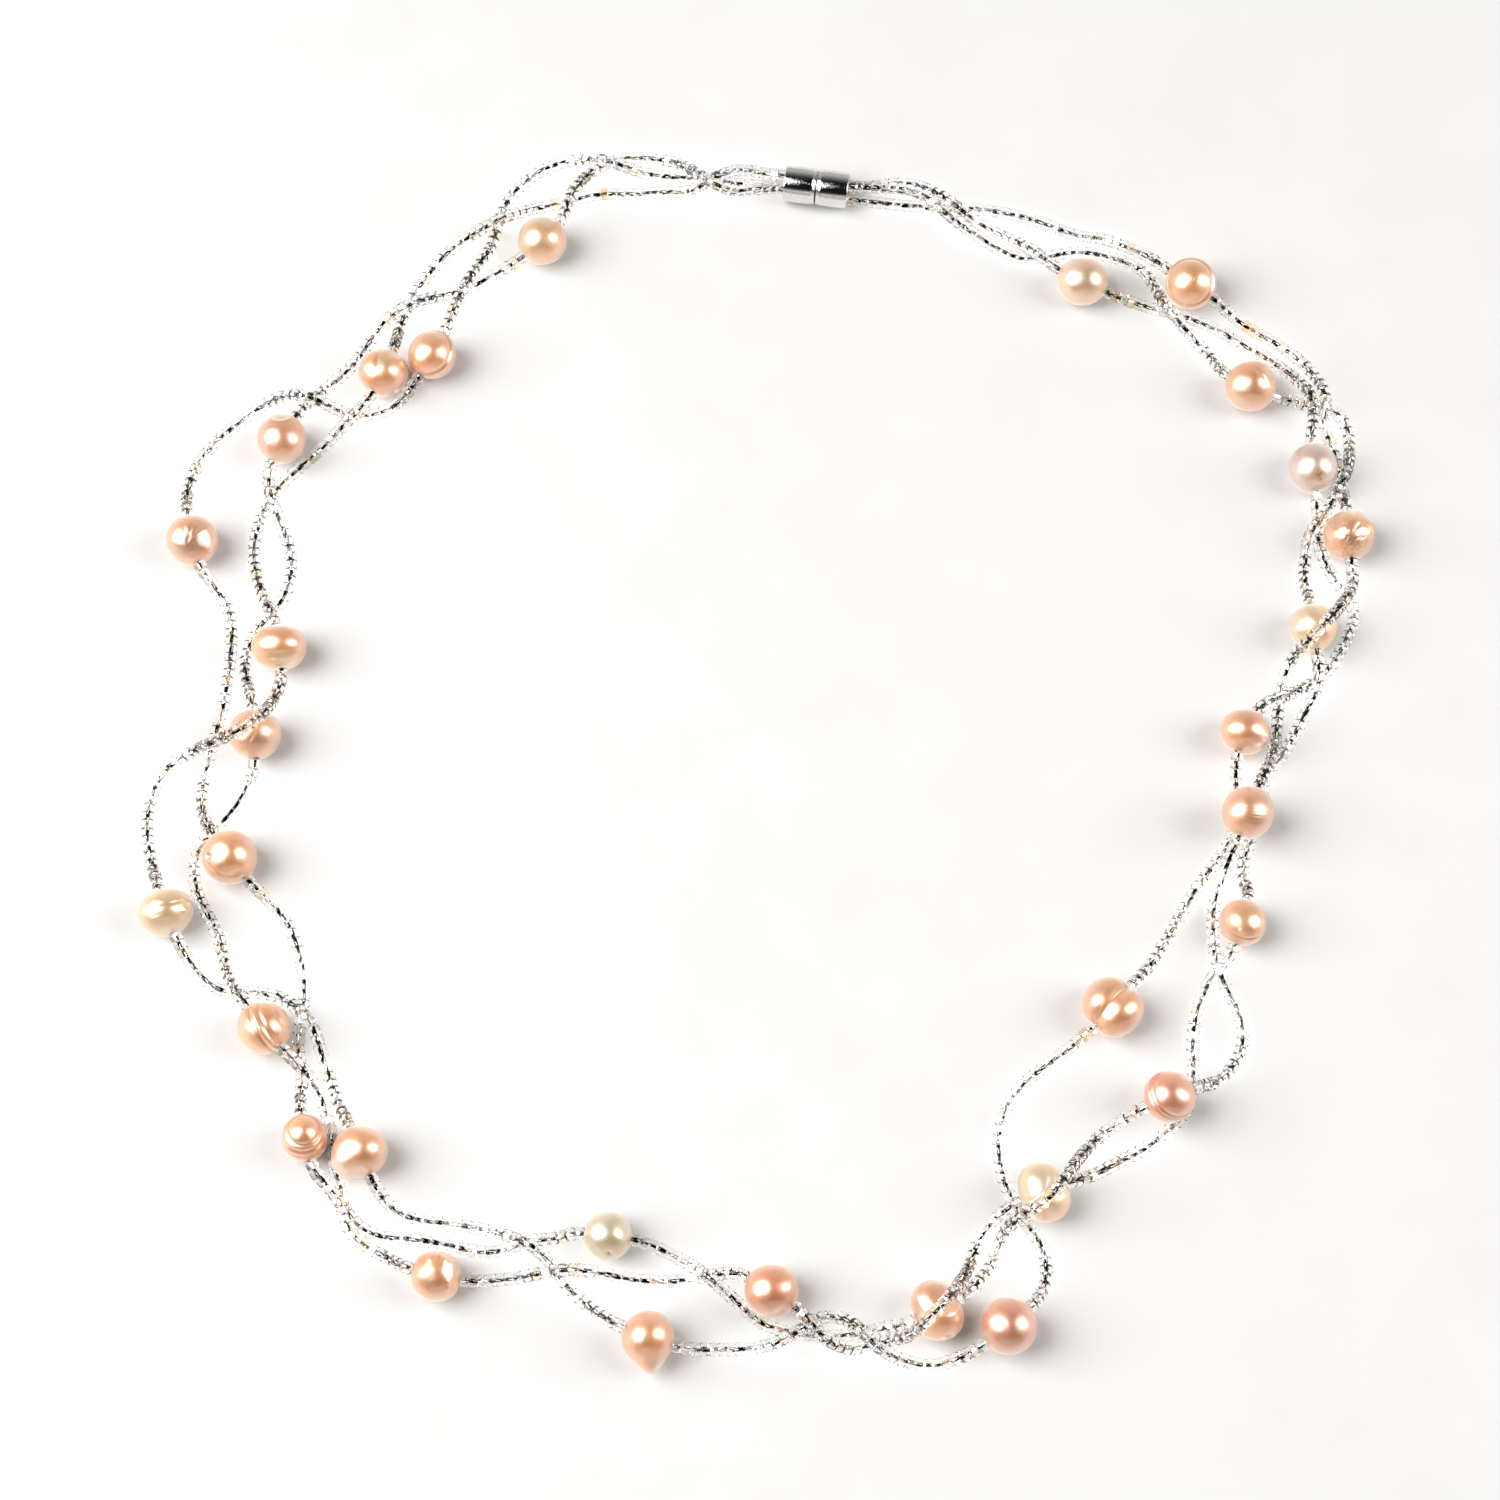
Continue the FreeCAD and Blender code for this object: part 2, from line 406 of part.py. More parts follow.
def circle_sketch(body, name, plane_role, alias):
    """A circle about the body's origin whose diameter is a cell of the sheet."""
    sketch = body.newObject("Sketcher::SketchObject", name)
    plane = [f for f in body.Origin.OriginFeatures if f.Role == plane_role][0]
    sketch.AttachmentSupport = (plane, [""])
    sketch.MapMode = "FlatFace"
    sketch.addGeometry(Part.Circle(VECTOR(0, 0, 0), UP, size(alias) / 2), False)
    sketch.addConstraint(Sketcher.Constraint("Coincident", 0, 3, -1, 1))
    sketch.addConstraint(Sketcher.Constraint("Diameter", 0, size(alias)))
    sketch.setExpression("Constraints[1]", f"Sizes.{alias}")
    return sketch


def make_clasp_shell(label, placement):
    """Half of the barrel: a short tube, mouth at local Z = 0 and seam at its far end."""
    body = DOC.addObject("PartDesign::Body", label.title().replace("_", ""))
    pad = body.newObject("PartDesign::Pad", "Barrel")
    pad.Profile = circle_sketch(body, "BarrelOutline", "XY_Plane", "clasp_diameter")
    pad.setExpression("Length", "Sizes.clasp_half_length")
    DOC.recompute()
    before = pad.Shape.Volume
    bore = body.newObject("PartDesign::Pocket", "Bore")
    bore.Profile = circle_sketch(body, "BoreOutline", "XY_Plane", "clasp_bore")
    bore.setExpression("Length", "Sizes.clasp_half_length")
    bore.Reversed = True
    DOC.recompute()
    removed = before - bore.Shape.Volume
    expected = math.pi * (size("clasp_bore") / 2) ** 2 * size("clasp_half_length")
    if abs(removed - expected) > 0.01:
        raise RuntimeError(f"{label}: the bore removes {removed:.2f}, not {expected:.2f}")
    rims = []
    for i, edge in enumerate(bore.Shape.Edges, start=1):
        if abs(edge.Length - math.pi * size("clasp_diameter")) < 0.01:
            rims.append(f"Edge{i}")
    fillet = body.newObject("PartDesign::Fillet", "Rims")
    fillet.Base = (bore, rims)
    fillet.setExpression("Radius", "Sizes.clasp_rim_rounding")
    DOC.recompute()
    keep(body, label, placement)


def make_disc(label, placement, start, length):
    """A disc inside the barrel, between two places along its axis, given as expressions."""
    disc = DOC.addObject("Part::Cylinder", label.title().replace("_", ""))
    disc.setExpression("Radius", "Sizes.clasp_bore / 2 - Sizes.plug_clearance")
    disc.setExpression("Height", length)
    DOC.recompute()
    offset = FreeCAD.Placement(VECTOR(0, 0, start), FreeCAD.Rotation())
    keep(disc, label, placement.multiply(offset))


def make_clasp():
    axis = FreeCAD.Rotation(UP, CLASP_HEADING).multVec(VECTOR(1, 0, 0))
    mouth = size("clasp_half_length") + size("clasp_seam_gap") / 2
    plug_end = size("clasp_mouth_depth") + size("plug_length")
    for side, heading in (("left", axis), ("right", axis * -1)):
        placement = along(heading, CLASP_CENTRE - heading * mouth)
        make_clasp_shell(f"clasp_shell_{side}", placement)
        make_disc(f"clasp_plug_{side}", placement, size("clasp_mouth_depth"), "Sizes.plug_length")
        magnet = "Sizes.clasp_half_length - Sizes.clasp_mouth_depth - Sizes.plug_length"
        make_disc(f"clasp_magnet_{side}", placement, plug_end, magnet + " - Sizes.magnet_recess")


def check_all():
    DOC.recompute()
    for thing in DOC.Objects:
        if "Invalid" in thing.State or "Error" in thing.State:
            raise RuntimeError(f"{thing.Name} is {thing.State}")
    for node in NODES:
        if node.Shape.isNull() or not node.Shape.isValid():
            raise RuntimeError(f"{node.Label} has no valid shape")


def write_all():
    os.makedirs("parts", exist_ok=True)
    box = FreeCAD.BoundBox()
    for node in NODES:
        node.Shape.exportStep(os.path.join("parts", node.Label + ".step"))
        box.add(node.Shape.BoundBox)
    print(f"{len(NODES)} nodes, box {box}")


def main():
    bead = bead_shape()
    for name, strand in STRANDS.items():
        make_strand(name, strand, bead)
    make_clasp()
    check_all()
    write_all()


main()
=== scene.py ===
import bpy
import json
import math
import random
import numpy as np
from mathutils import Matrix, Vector


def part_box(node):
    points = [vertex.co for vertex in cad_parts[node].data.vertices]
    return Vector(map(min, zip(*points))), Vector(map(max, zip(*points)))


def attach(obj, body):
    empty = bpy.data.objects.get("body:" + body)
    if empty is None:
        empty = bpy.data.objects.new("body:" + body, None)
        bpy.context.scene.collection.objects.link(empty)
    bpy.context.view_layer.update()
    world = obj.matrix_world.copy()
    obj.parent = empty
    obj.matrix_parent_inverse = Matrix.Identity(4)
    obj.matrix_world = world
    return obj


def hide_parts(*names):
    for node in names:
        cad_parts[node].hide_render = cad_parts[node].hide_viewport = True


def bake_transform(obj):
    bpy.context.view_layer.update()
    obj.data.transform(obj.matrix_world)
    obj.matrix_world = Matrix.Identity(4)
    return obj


# Three-strand pearl necklace lying in a ring on a pale floor. All lengths are in metres, in the frame
# of the CAD model. Each strand is one NURBS line; its thread, its glass seed beads and the holes of
# its pearls all follow that line.

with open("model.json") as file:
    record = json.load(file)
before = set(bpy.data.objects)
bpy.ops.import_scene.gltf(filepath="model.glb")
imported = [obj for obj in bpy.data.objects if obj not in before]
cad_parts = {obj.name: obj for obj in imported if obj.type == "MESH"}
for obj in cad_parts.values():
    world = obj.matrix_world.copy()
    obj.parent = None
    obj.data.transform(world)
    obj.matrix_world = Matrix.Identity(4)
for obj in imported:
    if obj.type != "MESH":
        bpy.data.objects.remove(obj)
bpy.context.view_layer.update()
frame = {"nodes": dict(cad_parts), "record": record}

MM = 0.001
THREAD_DIAMETER = 0.4 * MM
THREAD_TWIST = 1.7 * MM
BEAD_RADIUS = 1.0 * MM
BEAD_PITCH = 1.39 * MM
PEARL_HOLE_RADIUS = 0.5 * MM
BEAD_HOLE_RADIUS = 0.21 * MM
BEAD_CHAMFER = 0.05 * MM
BEAD_GAP = 0.04 * MM
CLASP_HEADING = math.radians(-8.0)
CLASP_HALF_LENGTH = 5.3 * MM
CLASP_RADIUS = 3.0 * MM
CLASP_BORE_RADIUS = 2.4 * MM
CLASP_RIM = 0.24 * MM
# The lip and groove at the clasp's seam: millimetres back from the seam, and out from the axis.
CLASP_LIP = ((0.42, 2.88), (0.36, 2.88), (0.30, 2.97), (0.18, 2.98), (0.10, 2.88), (0.0, 2.6), (0.0, 2.42))
FLOOR_CLEARANCE = 0.02 * MM
BEAD_INTO_PEARL = 0.12 * MM
PEARL_RINGS = 72
PEARL_SIDES = 96
BORE_SHARES = (0.04, 0.5, 0.96)
BEAD_SIDES = 20
THREAD_SIDES = 12
CLASP_SIDES = 72
FLOOR_HALF_SIZE = 0.5
LIGHT_DISTANCE = 0.9
CAMERA_ELEVATION = math.radians(70)
CAMERA_DISTANCE = 0.5469
CAMERA_TARGET = Vector((-0.0023, -0.0038, 0.0))

# Directions as the camera sees them: to the right, up the picture, and out of it.
SEEN_RIGHT = np.array([1.0, 0.0, 0.0])
SEEN_UP = np.array([0.0, math.sin(CAMERA_ELEVATION), math.cos(CAMERA_ELEVATION)])
SEEN_OUT = np.array([0.0, -math.cos(CAMERA_ELEVATION), math.sin(CAMERA_ELEVATION)])

ROUTE_A = [
    (0.0051, 0.0955, 0.0036), (0.0009, 0.0961, 0.0034), (-0.0038, 0.0976, 0.0026),
    (-0.0069, 0.0962, 0.0034), (-0.0095, 0.0948, 0.0031), (-0.0123, 0.094, 0.0012),
    (-0.0165, 0.0941, 0.0011), (-0.0214, 0.0936, 0.0011), (-0.0276, 0.0938, 0.0011),
    (-0.0333, 0.092, 0.0011), (-0.0386, 0.0907, 0.0013), (-0.0423, 0.0884, 0.0033),
    (-0.0456, 0.0865, 0.0033), (-0.0494, 0.0852, 0.0011), (-0.0524, 0.0825, 0.0011),
    (-0.0549, 0.079, 0.0011), (-0.0571, 0.0755, 0.0011), (-0.0584, 0.0725, 0.0011),
    (-0.0596, 0.0682, 0.0014), (-0.0599, 0.0639, 0.00395), (-0.0631, 0.0552, 0.00395),
    (-0.0676, 0.0506, 0.0033), (-0.0706, 0.048, 0.0011), (-0.0744, 0.0443, 0.0011),
    (-0.078, 0.0406, 0.0011), (-0.0805, 0.0357, 0.0011), (-0.0815, 0.0299, 0.0011),
    (-0.0806, 0.0249, 0.0016), (-0.079, 0.0205, 0.003), (-0.0768, 0.0163, 0.0043),
    (-0.0752, 0.0072, 0.0043), (-0.0761, 0.0032, 0.0049), (-0.0767, 0.0004, 0.0079),
    (-0.0785, -0.0024, 0.0096), (-0.0815, -0.0044, 0.0095), (-0.0852, -0.0046, 0.0059),
    (-0.0898, -0.005, 0.0018), (-0.0937, -0.0076, 0.0011), (-0.0954, -0.0126, 0.0011),
    (-0.0957, -0.0179, 0.0011), (-0.0945, -0.0227, 0.0011), (-0.0929, -0.0273, 0.0041),
    (-0.0897, -0.0359, 0.0041), (-0.0862, -0.0408, 0.0011), (-0.0827, -0.0434, 0.0011),
    (-0.0788, -0.0434, 0.0011), (-0.0743, -0.0439, 0.0015), (-0.0705, -0.0465, 0.00335),
    (-0.0679, -0.05, 0.00335), (-0.0669, -0.0536, 0.0011), (-0.0656, -0.0573, 0.0011),
    (-0.064, -0.0611, 0.0018), (-0.0622, -0.0647, 0.0041), (-0.0586, -0.0731, 0.0041),
    (-0.0557, -0.077, 0.0011), (-0.0517, -0.0787, 0.0011), (-0.0459, -0.0792, 0.0011),
    (-0.0405, -0.0803, 0.0016), (-0.0369, -0.0818, 0.0032), (-0.0338, -0.0832, 0.0032),
    (-0.0316, -0.0853, 0.0011), (-0.0291, -0.0889, 0.0011), (-0.0261, -0.0917, 0.0014),
    (-0.0215, -0.095, 0.0041), (-0.0129, -0.0983, 0.0041), (-0.0052, -0.0979, 0.0011),
    (-0.0003, -0.0976, 0.0013), (0.0031, -0.0965, 0.0033), (0.0055, -0.0952, 0.00335),
    (0.0083, -0.093, 0.0015), (0.011, -0.0931, 0.0012), (0.0136, -0.0949, 0.0037),
    (0.0165, -0.0983, 0.0037), (0.0203, -0.0996, 0.0013), (0.0243, -0.1004, 0.0011),
    (0.0283, -0.0993, 0.002), (0.0318, -0.0978, 0.0043), (0.0391, -0.0922, 0.0043),
    (0.0411, -0.0889, 0.0022), (0.0417, -0.0852, 0.0011), (0.0405, -0.0814, 0.0011),
    (0.0379, -0.078, 0.0011), (0.0361, -0.0743, 0.0011), (0.0349, -0.0699, 0.0011),
    (0.0349, -0.0651, 0.0011), (0.0363, -0.061, 0.0011), (0.0395, -0.057, 0.0011),
    (0.044, -0.0539, 0.0011), (0.0491, -0.0502, 0.00395), (0.0558, -0.0429, 0.00395),
    (0.0585, -0.0397, 0.0022), (0.0612, -0.0355, 0.0011), (0.0643, -0.0301, 0.0011),
    (0.0673, -0.0254, 0.0011), (0.0705, -0.0214, 0.0011), (0.0727, -0.0179, 0.0011),
    (0.0732, -0.013, 0.0011), (0.0728, -0.0064, 0.0039), (0.0765, 0.002, 0.0039),
    (0.082, 0.0043, 0.0032), (0.0857, 0.0067, 0.0011), (0.0889, 0.0094, 0.0011),
    (0.0914, 0.0136, 0.0011), (0.0935, 0.0181, 0.0011), (0.0925, 0.0217, 0.0011),
    (0.0898, 0.0256, 0.0011), (0.0883, 0.0299, 0.0011), (0.0884, 0.0347, 0.0011),
    (0.0879, 0.0381, 0.00395), (0.0874, 0.0473, 0.00395), (0.0884, 0.0516, 0.0036),
    (0.0882, 0.0559, 0.0038), (0.0862, 0.0599, 0.0012), (0.0825, 0.063, 0.0011),
    (0.0783, 0.0657, 0.0011), (0.0734, 0.069, 0.0011), (0.0685, 0.0712, 0.0011),
    (0.0638, 0.0724, 0.0011), (0.0594, 0.0737, 0.0016), (0.056, 0.0739, 0.00395),
    (0.0479, 0.0782, 0.00395), (0.0439, 0.0823, 0.00335), (0.0398, 0.0856, 0.0011),
    (0.0361, 0.0877, 0.0011), (0.0329, 0.0892, 0.0032), (0.03, 0.0918, 0.0032),
    (0.0263, 0.0952, 0.0011), (0.0221, 0.0959, 0.0012), (0.0172, 0.0943, 0.00205),
    (0.0124, 0.0943, 0.00245),
]
ROUTE_B = [
    (0.0051, 0.0945, 0.0018), (0.0001, 0.0951, 0.0015), (-0.0051, 0.0956, 0.0011),
    (-0.0107, 0.0968, 0.0011), (-0.0161, 0.0969, 0.0011), (-0.0205, 0.0975, 0.0014),
    (-0.0242, 0.0981, 0.0034), (-0.0273, 0.0989, 0.00355), (-0.0319, 0.1001, 0.0011),
    (-0.0367, 0.0985, 0.0011), (-0.0408, 0.0948, 0.0011), (-0.0433, 0.0908, 0.0011),
    (-0.0442, 0.0865, 0.0011), (-0.0451, 0.0832, 0.0011), (-0.0469, 0.08, 0.0023),
    (-0.0486, 0.0758, 0.0037), (-0.0501, 0.0725, 0.0035), (-0.0517, 0.067, 0.0039),
    (-0.0557, 0.0587, 0.0039), (-0.0596, 0.05465, 0.0011), (-0.0643, 0.0531, 0.0011),
    (-0.0675, 0.0532, 0.0016), (-0.0715, 0.0542, 0.0049), (-0.0755, 0.0555, 0.0049),
    (-0.0803, 0.0556, 0.0016), (-0.0846, 0.0521, 0.0011), (-0.0881, 0.049, 0.0011),
    (-0.0908, 0.0452, 0.0011), (-0.0924, 0.0409, 0.0011), (-0.092, 0.0345, 0.0041),
    (-0.0895, 0.0256, 0.0041), (-0.087, 0.023, 0.0019), (-0.0851, 0.0202, 0.0011),
    (-0.0842, 0.0174, 0.0011), (-0.084, 0.0121, 0.0011), (-0.0844, 0.0068, 0.0011),
    (-0.0849, 0.002, 0.0011), (-0.0859, -0.0019, 0.0011), (-0.0868, -0.0067, 0.0011),
    (-0.0874, -0.0111, 0.0011), (-0.087, -0.0154, 0.0022), (-0.0848, -0.0191, 0.0043),
    (-0.0793, -0.0265, 0.0043), (-0.0748, -0.0301, 0.0011), (-0.0725, -0.0335, 0.0011),
    (-0.0708, -0.0379, 0.0011), (-0.07, -0.0428, 0.0011), (-0.0702, -0.0467, 0.0011),
    (-0.0708, -0.0511, 0.0011), (-0.0702, -0.0548, 0.0011), (-0.0697, -0.0586, 0.0013),
    (-0.0698, -0.0622, 0.0036), (-0.0677, -0.0712, 0.0036), (-0.0649, -0.074, 0.0032),
    (-0.0625, -0.0772, 0.0032), (-0.0602, -0.08, 0.003), (-0.0572, -0.0812, 0.0011),
    (-0.0523, -0.0814, 0.0011), (-0.0474, -0.0822, 0.0011), (-0.0425, -0.0835, 0.0011),
    (-0.0386, -0.0832, 0.0011), (-0.0349, -0.0816, 0.0011), (-0.0312, -0.0815, 0.0015),
    (-0.0278, -0.0809, 0.0037), (-0.0187, -0.0819, 0.0037), (-0.0128, -0.0846, 0.0024),
    (-0.0098, -0.0865, 0.00335), (-0.007, -0.0887, 0.00335), (-0.0041, -0.091, 0.0011),
    (-0.0005, -0.0942, 0.0011), (0.0035, -0.0953, 0.0011), (0.0075, -0.0959, 0.0011),
    (0.0125, -0.0958, 0.0011), (0.0176, -0.0947, 0.0015), (0.0209, -0.0946, 0.0039),
    (0.0292, -0.0907, 0.0039), (0.0332, -0.0859, 0.0011), (0.0345, -0.0827, 0.0012),
    (0.0355, -0.0805, 0.0028), (0.0372, -0.0791, 0.0058), (0.0393, -0.0783, 0.0079),
    (0.0416, -0.0771, 0.0093), (0.0435, -0.0747, 0.0091), (0.0461, -0.0708, 0.0062),
    (0.0494, -0.0665, 0.0022), (0.0532, -0.0638, 0.0026), (0.056, -0.0626, 0.0056),
    (0.0646, -0.0593, 0.0056), (0.0678, -0.0582, 0.0034), (0.0713, -0.0543, 0.0012),
    (0.0726, -0.0501, 0.0011), (0.0718, -0.0462, 0.0011), (0.0701, -0.0426, 0.0011),
    (0.0688, -0.0389, 0.0011), (0.0684, -0.034, 0.0011), (0.0688, -0.0296, 0.0011),
    (0.0702, -0.0254, 0.002), (0.0723, -0.0204, 0.00605), (0.0759, -0.0119, 0.00605),
    (0.0789, -0.0059, 0.0034), (0.0798, -0.0018, 0.0016), (0.0804, 0.0025, 0.0011),
    (0.0811, 0.0066, 0.0011), (0.0825, 0.0101, 0.0024), (0.084, 0.0114, 0.0058),
    (0.0859, 0.0126, 0.0089), (0.0884, 0.0152, 0.0089), (0.0908, 0.0187, 0.006),
    (0.093, 0.0222, 0.0036), (0.0928, 0.0264, 0.004), (0.0925, 0.0356, 0.004), (0.0927, 0.0392, 0.0014),
    (0.0922, 0.0424, 0.0011), (0.092, 0.0452, 0.0011), (0.0912, 0.0481, 0.0011), (0.09, 0.0509, 0.0018),
    (0.0906, 0.0538, 0.0033), (0.0901, 0.0576, 0.0033), (0.0878, 0.0625, 0.0011),
    (0.0839, 0.0659, 0.0011), (0.0794, 0.0686, 0.0011), (0.0761, 0.0709, 0.0019),
    (0.0733, 0.0727, 0.00425), (0.0658, 0.0782, 0.00425), (0.0632, 0.0812, 0.0026),
    (0.0595, 0.0829, 0.0029), (0.0557, 0.0849, 0.002), (0.0512, 0.0859, 0.0011),
    (0.0464, 0.0882, 0.0011), (0.0417, 0.0898, 0.0011), (0.0369, 0.0907, 0.0011),
    (0.0331, 0.0911, 0.0011), (0.0301, 0.0905, 0.0011), (0.0265, 0.0913, 0.0011),
    (0.0226, 0.0916, 0.0011), (0.0172, 0.092, 0.0017), (0.0121, 0.0922, 0.0025),
]
ROUTE_C = [
    (0.005, 0.0934, 0.0036), (0.0004, 0.0937, 0.0035), (-0.0047, 0.0929, 0.0032),
    (-0.0081, 0.0934, 0.005), (-0.0108, 0.0953, 0.0049), (-0.0137, 0.0986, 0.0025),
    (-0.0171, 0.1002, 0.0011), (-0.0214, 0.1006, 0.0011), (-0.0252, 0.1, 0.0011),
    (-0.0281, 0.0982, 0.0011), (-0.0304, 0.0952, 0.0026), (-0.0321, 0.0919, 0.0034),
    (-0.03311, 0.08678, 0.004), (-0.03959, 0.08022, 0.004), (-0.0451, 0.0782, 0.0011),
    (-0.0492, 0.0758, 0.0011), (-0.053, 0.0747, 0.0014), (-0.056, 0.0729, 0.0035),
    (-0.0589, 0.0713, 0.0038), (-0.0621, 0.0699, 0.0015), (-0.0644, 0.0662, 0.0011),
    (-0.0668, 0.0621, 0.0011), (-0.0698, 0.0591, 0.0011), (-0.0721, 0.0569, 0.0015),
    (-0.0755, 0.0519, 0.00405), (-0.0791, 0.0434, 0.00405), (-0.0792, 0.0394, 0.0034),
    (-0.0779, 0.0358, 0.0033), (-0.0768, 0.0335, 0.0011), (-0.0752, 0.0285, 0.0011),
    (-0.0752, 0.0237, 0.0011), (-0.0772, 0.0195, 0.0011), (-0.0802, 0.0162, 0.0011),
    (-0.0815, 0.0126, 0.0011), (-0.0818, 0.0091, 0.0013), (-0.0796, 0.0019, 0.0041),
    (-0.0787, -0.0073, 0.0041), (-0.0803, -0.0104, 0.0016), (-0.0821, -0.0137, 0.0011),
    (-0.0845, -0.0167, 0.0011), (-0.0868, -0.0192, 0.0011), (-0.0881, -0.023, 0.0011),
    (-0.0875, -0.0272, 0.0011), (-0.0856, -0.0308, 0.0011), (-0.0836, -0.0343, 0.0011),
    (-0.0826, -0.0383, 0.0013), (-0.0811, -0.0425, 0.0031), (-0.0784, -0.0462, 0.0041),
    (-0.0726, -0.0534, 0.0041), (-0.0687, -0.0568, 0.0035), (-0.0669, -0.0597, 0.0012),
    (-0.0657, -0.0629, 0.0011), (-0.0649, -0.0669, 0.0011), (-0.0643, -0.0713, 0.0011),
    (-0.063, -0.0751, 0.0011), (-0.063, -0.0774, 0.0011), (-0.0618, -0.0804, 0.0011),
    (-0.0592, -0.0827, 0.0011), (-0.0559, -0.0843, 0.0017), (-0.0529, -0.0864, 0.00385),
    (-0.0439, -0.0885, 0.00385), (-0.0373, -0.0874, 0.0012), (-0.033, -0.0869, 0.0032),
    (-0.0291, -0.0863, 0.0032), (-0.0248, -0.0864, 0.0011), (-0.0199, -0.0875, 0.0011),
    (-0.015, -0.0879, 0.0011), (-0.0104, -0.0874, 0.0011), (-0.0064, -0.0865, 0.0015),
    (-0.0029, -0.0872, 0.004), (0.0047, -0.0923, 0.004), (0.0071, -0.0954, 0.00545),
    (0.0094, -0.0973, 0.0034), (0.0127, -0.0979, 0.0012), (0.0155, -0.0972, 0.0011),
    (0.0185, -0.0967, 0.002), (0.0211, -0.0967, 0.0056), (0.0234, -0.0949, 0.0089),
    (0.0261, -0.0923, 0.0093), (0.0282, -0.0894, 0.00675), (0.03, -0.0861, 0.0022),
    (0.0311, -0.0827, 0.0011), (0.0328, -0.0795, 0.0011), (0.0369, -0.0765, 0.00395),
    (0.0455, -0.0733, 0.00395), (0.049, -0.072, 0.002), (0.053, -0.0697, 0.0011),
    (0.0571, -0.0676, 0.0011), (0.0612, -0.0644, 0.0011), (0.0639, -0.0612, 0.0011),
    (0.0647, -0.0565, 0.0011), (0.0645, -0.0521, 0.0011), (0.0652, -0.0472, 0.0011),
    (0.0668, -0.0431, 0.0022), (0.0687, -0.0403, 0.0033), (0.0714, -0.0375, 0.00375),
    (0.0742, -0.0288, 0.00375), (0.0734, -0.0255, 0.0014), (0.0737, -0.0223, 0.0011),
    (0.0751, -0.0189, 0.0011), (0.0764, -0.015, 0.0011), (0.0771, -0.0111, 0.0011),
    (0.0785, -0.0076, 0.0011), (0.0814, -0.004, 0.0011), (0.0835, -0.0003, 0.0011),
    (0.0853, 0.0032, 0.0014), (0.0867, 0.0056, 0.0037), (0.0866, 0.0107, 0.0038),
    (0.086, 0.0199, 0.0038), (0.0854, 0.0238, 0.0018), (0.0861, 0.0288, 0.0013),
    (0.0865, 0.0316, 0.0035), (0.0891, 0.0345, 0.0038), (0.091, 0.0382, 0.004),
    (0.0932, 0.0423, 0.0036), (0.0943, 0.0473, 0.0012), (0.0941, 0.0513, 0.0011),
    (0.0923, 0.0542, 0.0011), (0.0874, 0.0551, 0.0011), (0.0825, 0.0551, 0.0041),
    (0.0742, 0.0591, 0.0041), (0.0728, 0.0627, 0.0022), (0.0702, 0.0665, 0.0015),
    (0.0674, 0.0691, 0.0034), (0.0649, 0.0725, 0.0034), (0.064, 0.0765, 0.0012),
    (0.0622, 0.0796, 0.0011), (0.0583, 0.0816, 0.0011), (0.054, 0.0828, 0.0011),
    (0.0498, 0.0829, 0.0011), (0.046, 0.0818, 0.0011), (0.0422, 0.0816, 0.0011),
    (0.0385, 0.0834, 0.0011), (0.0352, 0.0856, 0.0016), (0.032, 0.0872, 0.003),
    (0.0291, 0.0898, 0.0033), (0.0263, 0.0926, 0.0032), (0.0221, 0.0937, 0.0033),
    (0.0171, 0.0934, 0.004), (0.0123, 0.0934, 0.00435),
]
ROUTES = {"a": ROUTE_A, "b": ROUTE_B, "c": ROUTE_C}
PEARLS_ON = {"a": range(3, 31, 3), "b": range(2, 30, 3), "c": range(1, 29, 3)}
# Each strand is made as three lengths that meet inside pearls, so that each length crosses one bend:
# the pearl it starts in, the pearl it ends in, and the two ends of the bend's zone. None is the clasp.
LENGTHS = {
    "a": (
        (None, 15, (-0.0665, -0.0545, 0), (-0.0632, -0.0625, 0)),
        (15, 21, (0.0045, -0.0960, 0), (0.0150, -0.0955, 0)),
        (21, None, (0.0612, -0.0350, 0), (0.0700, -0.0220, 0)),
    ),
    "b": (
        (None, 14, (-0.0707, -0.0510, 0), (-0.0697, -0.0615, 0)),
        (14, 20, (0.0040, -0.0955, 0), (0.0170, -0.0949, 0)),
        (20, None, (0.0686, -0.0330, 0), (0.0712, -0.0225, 0)),
    ),
    "c": (
        (None, 13, (-0.0715, -0.0545, 0), (-0.0660, -0.0620, 0)),
        (13, 19, (0.0060, -0.0945, 0), (0.0160, -0.0972, 0)),
        (19, None, (0.0738, -0.0292, 0), (0.0738, -0.0200, 0)),
    ),
}


def linear(red, green, blue):
    """A display colour, 0 to 255, as linear values."""
    return tuple(((part / 255 + 0.055) / 1.055) ** 2.4 for part in (red, green, blue))


PEACH = (238, 164, 98)
APRICOT = (240, 160, 84)
ROSE = (234, 162, 108)
CREAM = (234, 202, 156)
GOLD = (228, 186, 126)
# The rust and brown below also paint the darker core at the front of many pearls, where the nacre reflects
# the dark room: painted shade.
RUST_AND_CORE_SHADE = (164, 98, 62)
PALE = (240, 218, 198)
BROWN_AND_CORE_SHADE = (110, 62, 36)
